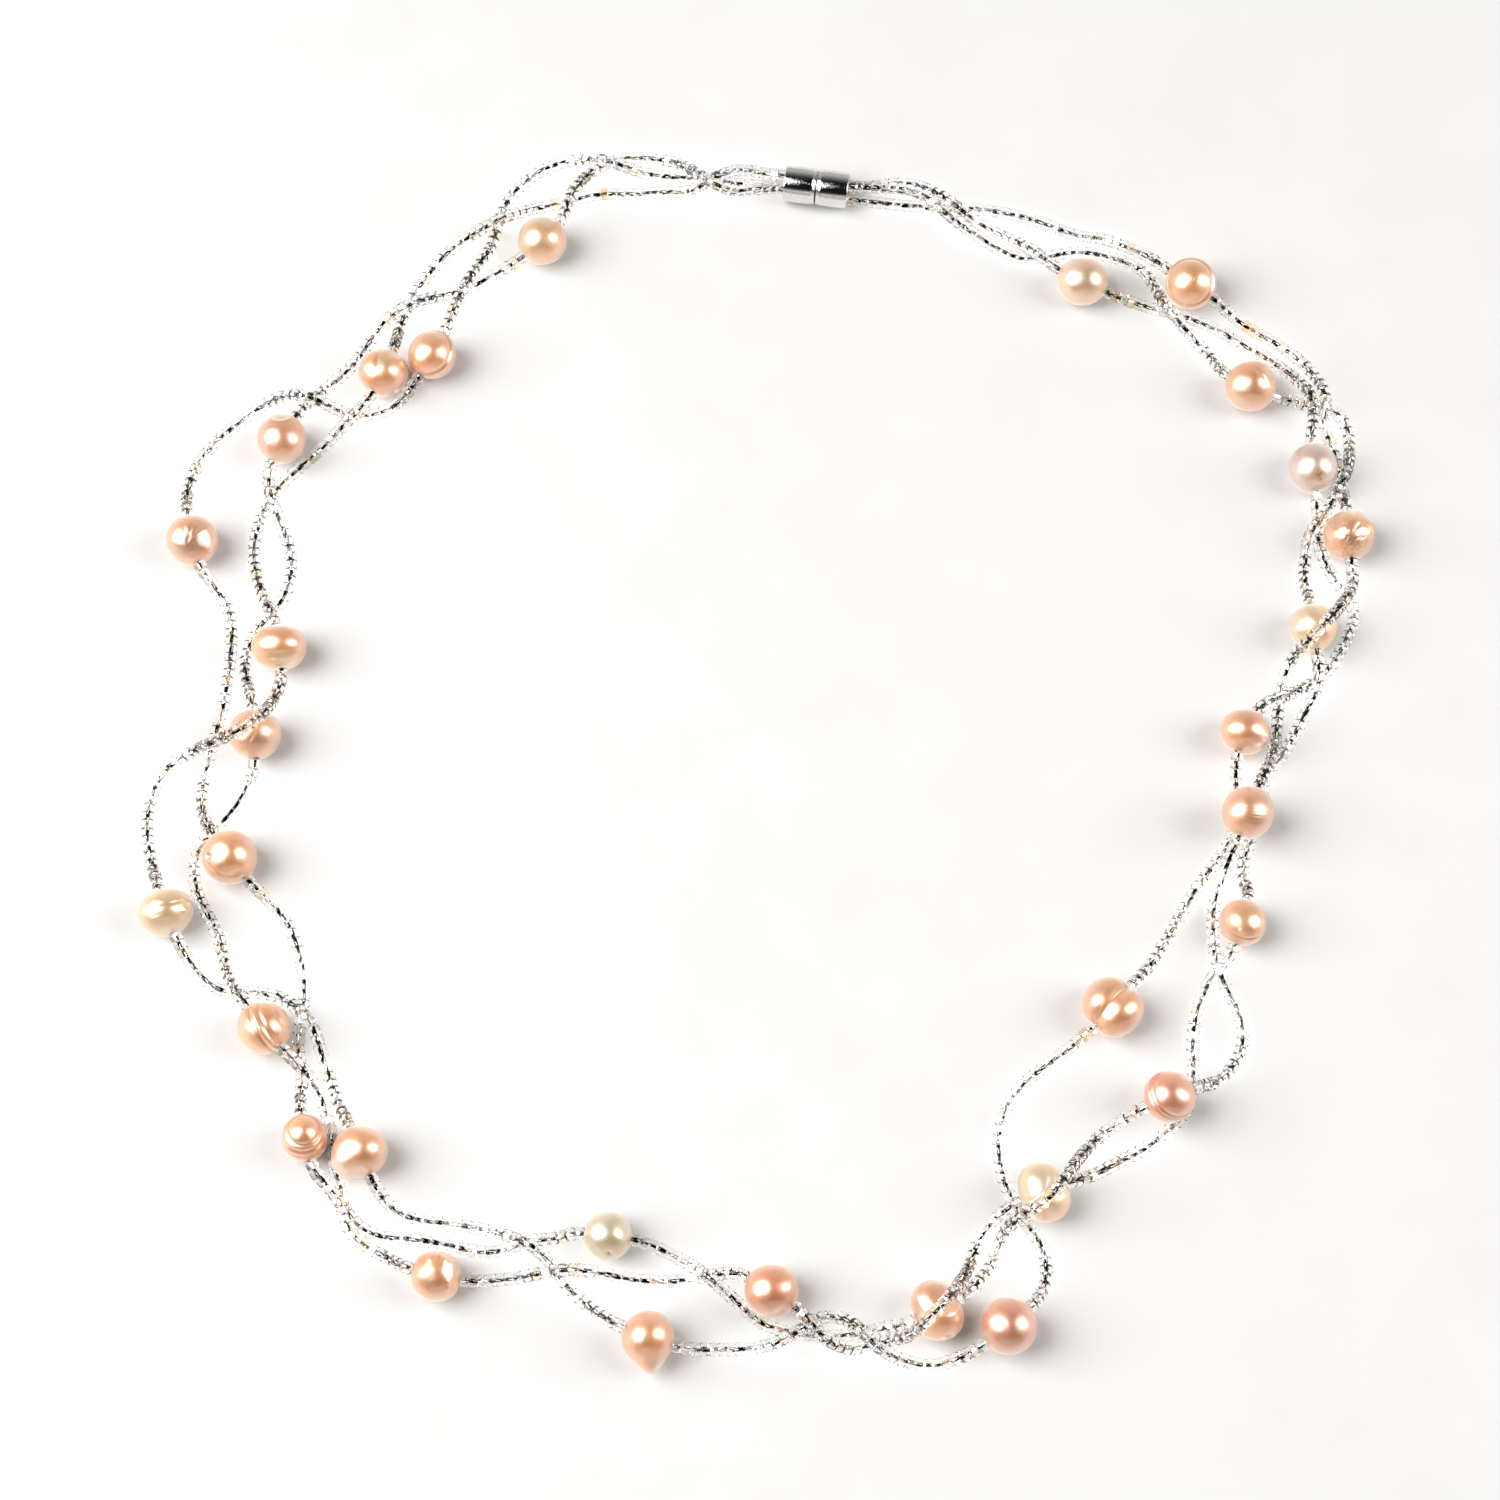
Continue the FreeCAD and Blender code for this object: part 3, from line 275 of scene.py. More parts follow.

# What each pearl looks like. "tint" is its body colour. The other entries are lists of features, each
# placed by a direction (right, up) on the pearl as the camera sees it, from -1 to 1:
#   bumps:  (right, up, height in mm, width in radians), below zero for a dent
#   rings:  (right, up, angle from that direction, height in mm, width), a groove round the pearl
#   arcs:   (right, up, angle, height, width, right, up, reach), a groove only near a second direction
#   stains and painted shade: (right, up, colour, strength, width); the rust and brown ones at and just below
#       the front's middle paint the dark core the nacre shows where it reflects the dark room
PEARLS = {
    1: dict(tint=GOLD, bumps=[(0.25, 0.8, -0.25, 0.4), (0.6, 0.6, 0.2, 0.25)],
        stains_and_core_shade=[(0.75, 0.1, ROSE, 0.9, 0.7), (0.1, -0.8, PEACH, 0.8, 0.6), (-0.3, 0.75, GOLD, 0.6, 0.3)]),
    2: dict(tint=PEACH, rings=[(-0.28, 0.24, 1.24, -0.22, 0.06), (-0.28, 0.24, 1.36, 0.1, 0.07)],
        stains_and_core_shade=[(0.0, -0.3, APRICOT, 0.7, 0.5)]),
    3: dict(tint=APRICOT, bumps=[(-0.25, 0.35, -0.12, 0.3), (0.45, 0.8, -0.2, 0.3), (-0.7, 0.1, 0.12, 0.4)],
        arcs=[(0.8, 0.2, 1.1, -0.12, 0.08, -0.2, 0.5, 0.5)],
        stains_and_core_shade=[(0.1, 0.4, GOLD, 0.8, 0.6), (0.4, -0.85, RUST_AND_CORE_SHADE, 0.4, 0.5)]),
    4: dict(tint=ROSE, bumps=[(0.0, 0.85, -0.3, 0.35)], rings=[(0.0, 0.92, 0.42, 0.14, 0.09)],
        stains_and_core_shade=[(0.0, 0.85, RUST_AND_CORE_SHADE, 0.55, 0.35), (0.55, -0.75, RUST_AND_CORE_SHADE, 0.35, 0.4),
            (-0.2, -0.9, PALE, 0.6, 0.4)]),
    5: dict(tint=ROSE, bumps=[(0.5, 0.0, -0.25, 0.45), (0.75, -0.45, 0.25, 0.3), (-0.4, -0.55, -0.15, 0.3)],
        arcs=[(0.95, -0.1, 1.25, -0.08, 0.05, 0.15, 0.3, 0.6),
            (0.9, 0.35, 1.35, -0.07, 0.05, 0.1, 0.2, 0.6), (0.8, 0.6, 1.45, -0.06, 0.05, -0.2, 0.1, 0.6),
            (0.7, -0.7, 1.3, 0.08, 0.05, 0.45, 0.2, 0.5)],
        stains_and_core_shade=[(0.1, -0.15, RUST_AND_CORE_SHADE, 0.4, 0.3), (-0.4, -0.55, GOLD, 0.4, 0.3)]),
    6: dict(tint=PEACH, bumps=[(0.0, 0.95, -0.3, 0.5), (-0.85, 0.3, 0.15, 0.3)],
        arcs=[(0.0, 0.8, 1.2, -0.1, 0.12, 0.0, -0.2, 0.9)],
        stains_and_core_shade=[(0.0, -0.55, GOLD, 0.9, 0.5), (0.5, -0.8, CREAM, 0.9, 0.5)]),
    7: dict(tint=ROSE, bumps=[(-0.6, -0.1, 0.15, 0.4)],
        arcs=[(-0.8, 0.5, 1.3, -0.12, 0.06, 0.0, -0.5, 0.5)],
        stains_and_core_shade=[(0.1, -0.2, RUST_AND_CORE_SHADE, 0.5, 0.4), (-0.5, -0.7, PEACH, 0.5, 0.5)]),
    8: dict(tint=APRICOT,
        bumps=[(-0.55, 0.02, -0.3, 0.5), (-0.7, 0.05, -0.4, 0.11), (0.35, -0.6, -0.3, 0.22)],
        rings=[(-0.7, 0.05, 0.17, 0.1, 0.06)], arcs=[(0.3, 0.7, 1.55, -0.16, 0.06, -0.4, -0.7, 0.7)],
        stains_and_core_shade=[(-0.7, 0.05, GOLD, 1.0, 0.16), (-0.5, -0.8, PALE, 0.8, 0.3), (-0.2, 0.8, GOLD, 0.4, 0.4)]),
    9: dict(tint=GOLD,
        bumps=[(0.9, 0.35, 0.3, 0.16), (0.8, 0.1, 0.2, 0.12), (0.7, 0.55, 0.2, 0.15),
            (-0.8, -0.2, 0.2, 0.5)],
        arcs=[(0.0, 0.95, 0.9, -0.12, 0.07, 0.2, 0.4, 0.6), (0.1, -0.9, 1.0, 0.08, 0.05, -0.2, -0.1, 0.5)],
        stains_and_core_shade=[(-0.5, 0.1, CREAM, 0.6, 0.5), (0.4, -0.7, PALE, 0.6, 0.4)]),
    10: dict(tint=APRICOT,
        rings=[(0.86, 0.5, 1.28, -0.26, 0.07), (0.86, 0.5, 1.62, -0.24, 0.06), (0.86, 0.5, 1.46, 0.1, 0.09),
            (0.86, 0.5, 0.62, -0.1, 0.08)],
        stains_and_core_shade=[(-0.6, -0.3, GOLD, 0.5, 0.6), (0.1, -0.55, RUST_AND_CORE_SHADE, 0.4, 0.15),
            (0.75, -0.1, APRICOT, 0.6, 0.5)]),
    11: dict(tint=APRICOT, bumps=[(0.05, 0.55, 0.35, 0.5), (-0.7, -0.3, 0.2, 0.3)],
        rings=[(0.05, 0.55, 0.78, -0.28, 0.09), (0.05, 0.55, 1.1, -0.16, 0.07),
            (0.05, 0.55, 1.4, -0.12, 0.06)],
        stains_and_core_shade=[(0.0, -0.1, RUST_AND_CORE_SHADE, 0.4, 0.3), (-0.8, 0.1, CREAM, 0.5, 0.4)]),
    12: dict(tint=PEACH,
        bumps=[(-0.75, -0.6, 0.55, 0.5), (0.5, 0.3, 0.25, 0.7), (-0.5, 0.1, -0.2, 0.3),
            (0.1, -0.75, -0.25, 0.3)],
        stains_and_core_shade=[(-0.7, -0.5, PALE, 0.8, 0.55), (0.25, -0.2, RUST_AND_CORE_SHADE, 0.35, 0.4)]),
    13: dict(tint=APRICOT,
        bumps=[(-0.2, 0.75, 0.25, 0.16), (0.1, 0.8, 0.22, 0.13), (0.35, 0.7, 0.22, 0.14),
            (0.6, 0.55, 0.2, 0.15), (0.55, -0.15, 0.14, 0.08), (0.5, -0.4, 0.14, 0.08),
            (0.05, 0.9, 0.2, 0.3)],
        stains_and_core_shade=[(-0.1, -0.1, RUST_AND_CORE_SHADE, 0.35, 0.5), (0.6, 0.4, PALE, 0.7, 0.4), (0.2, -0.9, PALE, 0.7, 0.4)]),
    14: dict(tint=(216, 198, 158), bumps=[(0.05, -0.62, -0.35, 0.14), (0.05, -0.62, 0.12, 0.3)],
        stains_and_core_shade=[(0.05, -0.66, BROWN_AND_CORE_SHADE, 0.6, 0.08), (0.0, 0.8, PALE, 0.5, 0.5), (0.7, 0.2, CREAM, 0.5, 0.4)]),
    15: dict(tint=ROSE, bumps=[(0.15, -0.95, 1.3, 0.42), (-0.2, 0.2, 0.1, 0.6)],
        arcs=[(0.85, -0.3, 0.75, -0.12, 0.05, 0.5, -0.75, 0.4)],
        stains_and_core_shade=[(0.1, -0.2, APRICOT, 0.8, 0.6), (0.35, -0.85, PALE, 0.7, 0.25)]),
    16: dict(tint=(230, 142, 82), bumps=[(0.7, 0.5, 0.2, 0.5), (0.3, -0.75, -0.25, 0.25)],
        arcs=[(0.72, 0.6, 1.5, -0.07, 0.03, 0.0, 0.1, 0.5), (0.72, 0.6, 1.42, -0.06, 0.03, 0.1, 0.2, 0.5),
            (0.72, 0.6, 1.6, -0.06, 0.03, -0.1, 0.0, 0.5), (0.72, 0.6, 1.33, -0.05, 0.03, 0.1, 0.3, 0.5)],
        stains_and_core_shade=[(-0.05, -0.25, BROWN_AND_CORE_SHADE, 0.35, 0.3), (0.6, 0.7, PEACH, 0.7, 0.4)]),
    17: dict(tint=ROSE, bumps=[(0.0, 0.8, -0.2, 0.45)], rings=[(0.1, 0.75, 0.9, 0.14, 0.1)],
        arcs=[(0.35, -0.4, 0.9, -0.16, 0.07, -0.4, -0.4, 0.6)],
        stains_and_core_shade=[(-0.5, 0.1, PALE, 0.7, 0.4), (0.2, -0.6, APRICOT, 0.8, 0.5), (0.1, 0.6, PEACH, 0.8, 0.5)]),
    18: dict(tint=(224, 144, 98), bumps=[(-0.1, -0.1, 0.06, 0.9)], stains_and_core_shade=[(0.0, -0.25, RUST_AND_CORE_SHADE, 0.3, 0.5)]),
    19: dict(tint=CREAM, bumps=[(0.2, -0.2, 0.2, 0.4), (-0.5, 0.6, 0.2, 0.4)],
        arcs=[(-0.6, 0.6, 0.9, -0.2, 0.08, -0.1, 0.0, 0.8)],
        stains_and_core_shade=[(-0.6, 0.3, GOLD, 0.7, 0.4), (0.5, -0.7, APRICOT, 0.8, 0.5), (0.1, 0.4, PALE, 0.8, 0.4)]),
    20: dict(tint=(232, 148, 96),
        rings=[(0.4, 0.42, 1.18, -0.2, 0.05), (0.4, 0.42, 1.36, -0.2, 0.05), (0.4, 0.42, 1.27, 0.08, 0.05)],
        stains_and_core_shade=[(0.1, -0.1, RUST_AND_CORE_SHADE, 0.3, 0.5), (-0.6, -0.5, APRICOT, 0.5, 0.3)]),
    21: dict(tint=PEACH,
        rings=[(0.7, -0.6, 1.5, -0.14, 0.04), (0.7, -0.6, 1.6, -0.06, 0.03), (0.7, -0.6, 1.4, -0.06, 0.03),
            (0.7, -0.6, 1.7, -0.05, 0.03)],
        stains_and_core_shade=[(0.0, 0.1, PALE, 0.9, 0.2), (0.35, -0.45, RUST_AND_CORE_SHADE, 0.35, 0.4),
            (-0.5, 0.3, APRICOT, 0.7, 0.4)]),
    22: dict(tint=PEACH, arcs=[(0.1, 0.55, 1.25, -0.2, 0.05, 0.0, -0.7, 1.2)],
        bumps=[(-0.2, -0.3, 0.12, 0.1)],
        stains_and_core_shade=[(-0.1, 0.1, GOLD, 0.6, 0.4), (0.1, -0.85, ROSE, 0.9, 0.5), (-0.2, -0.3, PALE, 0.8, 0.12)]),
    23: dict(tint=ROSE,
        arcs=[(0.2, 0.9, 1.15, -0.06, 0.03, 0.2, -0.1, 0.5), (0.2, 0.9, 1.27, -0.07, 0.03, 0.2, -0.2, 0.5),
            (0.2, 0.9, 1.39, -0.06, 0.03, 0.2, -0.35, 0.5), (0.2, 0.9, 1.52, -0.06, 0.03, 0.2, -0.5, 0.5),
            (0.2, 0.9, 1.04, -0.05, 0.03, 0.2, 0.0, 0.5)], bumps=[(0.85, 0.6, 0.2, 0.4)],
        stains_and_core_shade=[(0.2, -0.3, RUST_AND_CORE_SHADE, 0.25, 0.4)]),
    24: dict(tint=PEACH,
        bumps=[(0.8, -0.2, 0.25, 0.18), (0.6, -0.4, 0.2, 0.14), (0.35, -0.5, 0.15, 0.12),
            (-0.8, 0.0, 0.25, 0.5), (0.1, -0.8, -0.25, 0.4)],
        stains_and_core_shade=[(0.5, -0.45, PALE, 0.8, 0.3), (-0.1, -0.1, APRICOT, 0.8, 0.4)]),
    25: dict(tint=CREAM, bumps=[(-0.8, -0.1, 0.25, 0.4), (-0.3, 0.8, 0.15, 0.4)],
        stains_and_core_shade=[(0.0, -0.2, APRICOT, 0.7, 0.5), (0.7, -0.3, PEACH, 0.9, 0.5)]),
    26: dict(tint=PEACH, grain=0.05, bumps=[(-0.7, 0.5, -0.3, 0.4), (0.85, 0.3, 0.25, 0.35)],
        stains_and_core_shade=[(-0.05, -0.2, RUST_AND_CORE_SHADE, 0.5, 0.4), (0.0, 0.85, CREAM, 0.6, 0.4)]),
    27: dict(tint=(216, 184, 168),
        bumps=[(0.05, -0.35, -0.22, 0.07), (0.16, -0.28, -0.2, 0.05), (-0.06, -0.4, -0.18, 0.05),
            (0.12, -0.47, -0.2, 0.06), (0.02, -0.22, -0.12, 0.04)],
        stains_and_core_shade=[(0.05, -0.33, GOLD, 0.9, 0.35), (0.05, -0.35, BROWN_AND_CORE_SHADE, 0.9, 0.09),
            (0.16, -0.28, BROWN_AND_CORE_SHADE, 0.8, 0.05), (0.12, -0.48, BROWN_AND_CORE_SHADE, 0.8, 0.06)]),
    28: dict(tint=PEACH, bumps=[(0.8, 0.35, -0.25, 0.35), (0.3, 0.85, 0.2, 0.35), (-0.3, 0.1, -0.08, 0.5)],
        arcs=[(-0.6, -0.4, 1.3, -0.14, 0.06, 0.45, 0.5, 0.6)],
        stains_and_core_shade=[(0.0, -0.2, RUST_AND_CORE_SHADE, 0.3, 0.4), (-0.6, -0.6, CREAM, 0.5, 0.4), (0.4, 0.5, GOLD, 0.6, 0.3)]),
    29: dict(tint=PEACH, rings=[(-0.2, 0.02, 1.08, -0.24, 0.06), (-0.2, 0.02, 1.22, 0.1, 0.07)],
        bumps=[(0.03, 0.05, 0.12, 0.12), (0.03, 0.05, -0.2, 0.06)],
        stains_and_core_shade=[(-0.1, -0.1, APRICOT, 0.8, 0.5), (0.8, 0.2, PALE, 0.6, 0.4), (-0.3, 0.2, GOLD, 0.5, 0.3)]),
    30: dict(tint=(232, 188, 146), bumps=[(0.4, 0.5, 0.15, 0.5), (-0.3, -0.5, 0.12, 0.5)],
        stains_and_core_shade=[(0.2, 0.0, (176, 156, 104), 0.8, 0.35), (-0.35, -0.3, RUST_AND_CORE_SHADE, 0.55, 0.22),
            (-0.6, 0.5, PALE, 0.6, 0.5)]),
}

# Twin pearls: the second lobe's size as a share of the first, and a lobe's width as a share of the whole.
TWINS = {17: (0.9, 0.74), 19: (0.92, 0.74), 21: (0.97, 0.68)}


# ---- Lines ----


class Line:
    """A strand's smooth line, read from the NURBS spline of its route, with places by distance."""

    def __init__(self, name, route):
        data = bpy.data.curves.new(name, "CURVE")
        data.dimensions = "3D"
        data.resolution_u = 16
        spline = data.splines.new("NURBS")
        spline.points.add(len(route) - 1)
        for point, place in zip(spline.points, route):
            point.co = (*place, 1.0)
        spline.order_u = 3
        spline.use_endpoint_u = True
        curve = bpy.data.objects.new(name, data)
        bpy.context.scene.collection.objects.link(curve)
        bpy.context.view_layer.update()
        mesh = bpy.data.meshes.new_from_object(curve)
        self.points = np.array([vertex.co[:] for vertex in mesh.vertices])
        bpy.data.meshes.remove(mesh)
        bpy.data.objects.remove(curve)
        bpy.data.curves.remove(data)
        steps = np.linalg.norm(np.diff(self.points, axis=0), axis=1)
        self.distances = np.concatenate(([0.0], np.cumsum(steps)))
        self.length = self.distances[-1]

    def at(self, distance):
        distance = np.asarray(distance, dtype=float)
        return np.stack([np.interp(distance, self.distances, self.points[:, k]) for k in range(3)], axis=-1)

    def heading(self, distance, reach=0.3 * MM):
        ahead = self.at(np.minimum(np.asarray(distance) + reach, self.length))
        behind = self.at(np.maximum(np.asarray(distance) - reach, 0.0))
        way = ahead - behind
        return way / np.linalg.norm(way, axis=-1, keepdims=True)

    def nearest(self, place):
        return self.distances[np.argmin(np.linalg.norm(self.points - np.asarray(place), axis=1))]


def cross_axes(heading):
    """Two directions square to each heading: one level, and one that completes the set."""
    level = np.cross(np.array([0.0, 0.0, 1.0]), heading)
    level = level / np.linalg.norm(level, axis=-1, keepdims=True)
    return level, np.cross(heading, level)


# ---- Meshes ----


def mesh_object(name, vertices, faces, materials, indices=None, smooth=True):
    mesh = bpy.data.meshes.new(name)
    mesh.from_pydata([tuple(v) for v in vertices], [], [tuple(f) for f in faces])
    for material in materials:
        mesh.materials.append(material)
    if indices is not None:
        mesh.polygons.foreach_set("material_index", np.asarray(indices, dtype=np.int32))
    mesh.polygons.foreach_set("use_smooth", np.full(len(mesh.polygons), smooth))
    mesh.update()
    piece = bpy.data.objects.new(name, mesh)
    bpy.context.scene.collection.objects.link(piece)
    return piece


def paint(piece, name, colours):
    """Stores a colour for each vertex."""
    layer = piece.data.color_attributes.new(name, "FLOAT_COLOR", "POINT")
    rgba = np.ones((len(colours), 4), dtype=np.float32)
    rgba[:, :3] = colours
    layer.data.foreach_set("color", rgba.ravel())


def turns(around):
    """Even angles round a full circle."""
    return np.arange(around) * 2 * math.pi / around


def above_floor(vertices):
    vertices[:, 2] = np.maximum(vertices[:, 2], FLOOR_CLEARANCE)
    return vertices


def around_axis(middle, out, turn, side, other):
    """Points that lie out from their middles, turned about an axis square to side and other."""
    return middle + (out * np.cos(turn))[..., None] * side + (out * np.sin(turn))[..., None] * other


def grid_faces(rings, around, closed_ends, first=0):
    """Quads between rings of vertices; with closed_ends the last ring joins the first."""
    count = rings if closed_ends else rings - 1
    ring = np.arange(count)[:, None]
    step = np.arange(around)[None, :]
    after = (ring + 1) % rings
    beside = (step + 1) % around
    corners = [ring * around + step, ring * around + beside, after * around + beside, after * around + step]
    corners = [np.broadcast_to(c, (count, around)) for c in corners]
    return np.stack(corners, axis=-1).reshape(-1, 4) + first


# ---- Materials ----


def new_material(name):
    material = bpy.data.materials.new(name)
    material.use_nodes = True
    nodes = material.node_tree.nodes
    return material, nodes, material.node_tree.links, nodes["Principled BSDF"]


def set_inputs(node, **values):
    """Sets a node's inputs; an underscore in a name stands for a space."""
    for name, value in values.items():
        node.inputs[name.replace("_", " ")].default_value = value


def add_bump(nodes, links, shader, height, strength, distance):
    bump = nodes.new("ShaderNodeBump")
    set_inputs(bump, Strength=strength, Distance=distance)
    links.new(height, bump.inputs["Height"])
    links.new(bump.outputs["Normal"], shader.inputs["Normal"])


def add_noise(nodes, links, scale, detail=3.0, roughness=0.5):
    place = nodes.new("ShaderNodeTexCoord")
    noise = nodes.new("ShaderNodeTexNoise")
    set_inputs(noise, Scale=scale, Detail=detail, Roughness=roughness)
    links.new(place.outputs["Object"], noise.inputs["Vector"])
    return noise.outputs["Fac"]


def add_ramp(nodes, links, factor, stops):
    ramp = nodes.new("ShaderNodeValToRGB")
    ramp.color_ramp.elements[0].position = stops[0][0]
    ramp.color_ramp.elements[0].color = (*stops[0][1], 1.0)
    ramp.color_ramp.elements[1].position = stops[-1][0]
    ramp.color_ramp.elements[1].color = (*stops[-1][1], 1.0)
    for position, colour in stops[1:-1]:
        ramp.color_ramp.elements.new(position).color = (*colour, 1.0)
    links.new(factor, ramp.inputs["Fac"])
    return ramp.outputs["Color"]


def add_mix(nodes, links, blend, first):
    """A colour mix with its first colour linked; the second and the factor are the caller's."""
    mix = nodes.new("ShaderNodeMix")
    mix.data_type = "RGBA"
    mix.blend_type = blend
    links.new(first, mix.inputs["A"])
    return mix


def vary_roughness(nodes, links, shader, factor, least, most):
    rough = nodes.new("ShaderNodeMapRange")
    rough.inputs["To Min"].default_value = least
    rough.inputs["To Max"].default_value = most
    links.new(factor, rough.inputs["Value"])
    links.new(rough.outputs["Result"], shader.inputs["Roughness"])


def mottled(name, scale, detail, roughness, stops):
    """A material whose colour follows noise; returns what its maker needs to go on, and the noise."""
    material, nodes, links, shader = new_material(name)
    noise = add_noise(nodes, links, scale, detail, roughness)
    links.new(add_ramp(nodes, links, noise, stops), shader.inputs["Base Color"])
    return material, nodes, links, shader, noise


def nacre():
    """Pearl: the painted body colour, with painted shade in its dark core, grooves and bore, a little
    cloudy, under a clear glossy skin.
    """
    material, nodes, links, shader = new_material("nacre")
    body = nodes.new("ShaderNodeAttribute")
    body.attribute_name = "nacre"
    clouds = add_noise(nodes, links, 420.0, 4.0, 0.6)
    shade = add_ramp(nodes, links, clouds, [(0.3, (0.90, 0.86, 0.82)), (0.7, (1.0, 1.0, 1.0))])
    mix = add_mix(nodes, links, "MULTIPLY", body.outputs["Color"])
    mix.inputs["Factor"].default_value = 1.0
    links.new(shade, mix.inputs["B"])
    links.new(mix.outputs["Result"], shader.inputs["Base Color"])
    vary_roughness(nodes, links, shader, clouds, 0.30, 0.42)
    set_inputs(shader, Metallic=0.38, IOR=2.6, Coat_Weight=1.0, Coat_Roughness=0.31, Coat_IOR=2.5)
    set_inputs(shader, Subsurface_Weight=0.25, Subsurface_Radius=(1.0, 0.55, 0.35), Subsurface_Scale=0.0012)
    set_inputs(shader, Sheen_Weight=1.0, Sheen_Roughness=0.45, Sheen_Tint=(1.0, 0.93, 0.85, 1.0))
    add_bump(nodes, links, shader, add_noise(nodes, links, 2600.0, 5.0, 0.6), 0.12, 0.00008)
    return material


def bead_glass():
    """Clear glass with a faint tint of its own on each bead."""
    material, nodes, links, shader = new_material("bead_glass")
    tint = nodes.new("ShaderNodeAttribute")
    tint.attribute_name = "tint"
    links.new(tint.outputs["Color"], shader.inputs["Base Color"])
    set_inputs(shader, Transmission_Weight=1.0, IOR=1.5, Roughness=0.03)
    add_bump(nodes, links, shader, add_noise(nodes, links, 900.0, 2.0, 0.5), 0.25, 0.0001)
    return material


def bead_lining():
    """The silvered wall of a bead's square hole, painted black in patches: painted shade in the hole."""
    stops = [(0.46, (0.01, 0.01, 0.01)), (0.50, (0.95, 0.94, 0.93))]
    material, nodes, links, shader, shade_spots = mottled("bead_lining", 800.0, 3.0, 0.6, stops)
    set_inputs(shader, Metallic=1.0, Roughness=0.06)
    add_bump(nodes, links, shader, shade_spots, 0.15, 0.00003)
    return material


def thread_fibre():
    """Waxed thread: off-white, with fine fibres."""
    stops = [(0.3, linear(196, 186, 170)), (0.7, linear(240, 236, 226))]
    material, nodes, links, shader, fibre = mottled("thread_fibre", 9000.0, 4.0, 0.7, stops)
    set_inputs(shader, Roughness=0.6, Sheen_Weight=0.3)
    add_bump(nodes, links, shader, fibre, 0.5, 0.00004)
    return material


def clasp_metal():
    """Polished plated metal with a fine hammered mottle."""
    stops = [(0.35, (0.70, 0.69, 0.68)), (0.65, (0.86, 0.85, 0.84))]
    material, nodes, links, shader, mottle = mottled("clasp_metal", 3200.0, 4.0, 0.7, stops)
    set_inputs(shader, Metallic=1.0)
    vary_roughness(nodes, links, shader, mottle, 0.02, 0.07)
    add_bump(nodes, links, shader, mottle, 0.7, 0.00004)
    return material


def clasp_inside():
    """The brassy inside wall of the clasp's mouth."""
    stops = [(0.3, linear(176, 146, 96)), (0.7, linear(240, 222, 184))]
    material, _, _, shader, _ = mottled("clasp_inside", 1100.0, 3.0, 0.6, stops)
    set_inputs(shader, Metallic=1.0, Roughness=0.3)
    return material


def cured_glue():
    stops = [(0.3, linear(150, 132, 96)), (0.7, linear(214, 200, 168))]
    material, nodes, links, shader, cloud = mottled("cured_glue", 700.0, 4.0, 0.6, stops)
    set_inputs(shader, Roughness=0.25, Subsurface_Weight=0.2, Subsurface_Scale=0.0008)
    add_bump(nodes, links, shader, cloud, 0.5, 0.0003)
    return material


def magnet_plating():
    stops = [(0.3, linear(120, 120, 122)), (0.7, linear(206, 206, 208))]
    material, nodes, links, shader, marks = mottled("magnet_plating", 2200.0, 5.0, 0.7, stops)
    set_inputs(shader, Metallic=1.0, Roughness=0.28)
    add_bump(nodes, links, shader, marks, 0.2, 0.00005)
    return material


# ---- Pearls ----


def seen(right, up):
    """The unit direction from a pearl's middle to a place on its front, as the camera sees it."""
    out = math.sqrt(max(0.0, 1.0 - right * right - up * up))
    way = right * SEEN_RIGHT + up * SEEN_UP + out * SEEN_OUT
    return way / np.linalg.norm(way)


def angle_from(directions, way):
    return np.arccos(np.clip(directions @ way, -1.0, 1.0))


def lumps(directions, seed, count, pitch, size):
    """A smooth uneven field over a ball, between about -size and size."""
    chance = np.random.default_rng(seed)
    waves = chance.normal(0.0, pitch, (count, 3))
    phases = chance.uniform(0.0, 2 * math.pi, count)
    return size * np.sin(directions @ waves.T + phases).sum(axis=1) / math.sqrt(count)


def relief(directions, number, looks):
    """How far each place of a pearl stands out from its plain shape, in metres."""
    height = lumps(directions, number, 6, 2.0, 0.07) + lumps(directions, number + 100, 10, 7.0, 0.012)
    height += lumps(directions, number + 200, 14, 26.0, looks.get("grain", 0.004))
    for right, up, tall, width in looks.get("bumps", ()):
        height += tall * np.exp(-(angle_from(directions, seen(right, up)) / width) ** 2)
    for right, up, angle, tall, width in looks.get("rings", ()):
        away = angle_from(directions, seen(right, up))
        height += tall * np.exp(-((away - angle) / width) ** 2)
    for right, up, angle, tall, width, near_right, near_up, reach in looks.get("arcs", ()):
        away = angle_from(directions, seen(right, up))
        near = angle_from(directions, seen(near_right, near_up))
        height += tall * np.exp(-((away - angle) / width) ** 2 - (near / reach) ** 2)
    return height * MM


def body_colour(directions, number, looks, height):
    colour = np.tile(np.array(linear(*looks["tint"])), (len(directions), 1))
    # Patches of colour: the pearl's own stains and tone, and painted shade for the darker core at the front.
    for right, up, patch_colour, strength, width in looks.get("stains_and_core_shade", ()):
        share = strength * np.exp(-(angle_from(directions, seen(right, up)) / width) ** 2)
        colour += share[:, None] * (np.array(linear(*patch_colour)) - colour)
    cloud = lumps(directions, number + 300, 8, 3.0, 0.05)
    # Dents and grooves are painted up to a quarter darker: painted shade.
    groove = np.clip(-height / (0.25 * MM), 0.0, 1.0) * 0.25
    return np.clip(colour * (1.0 + cloud - groove)[:, None], 0.0, 1.0)


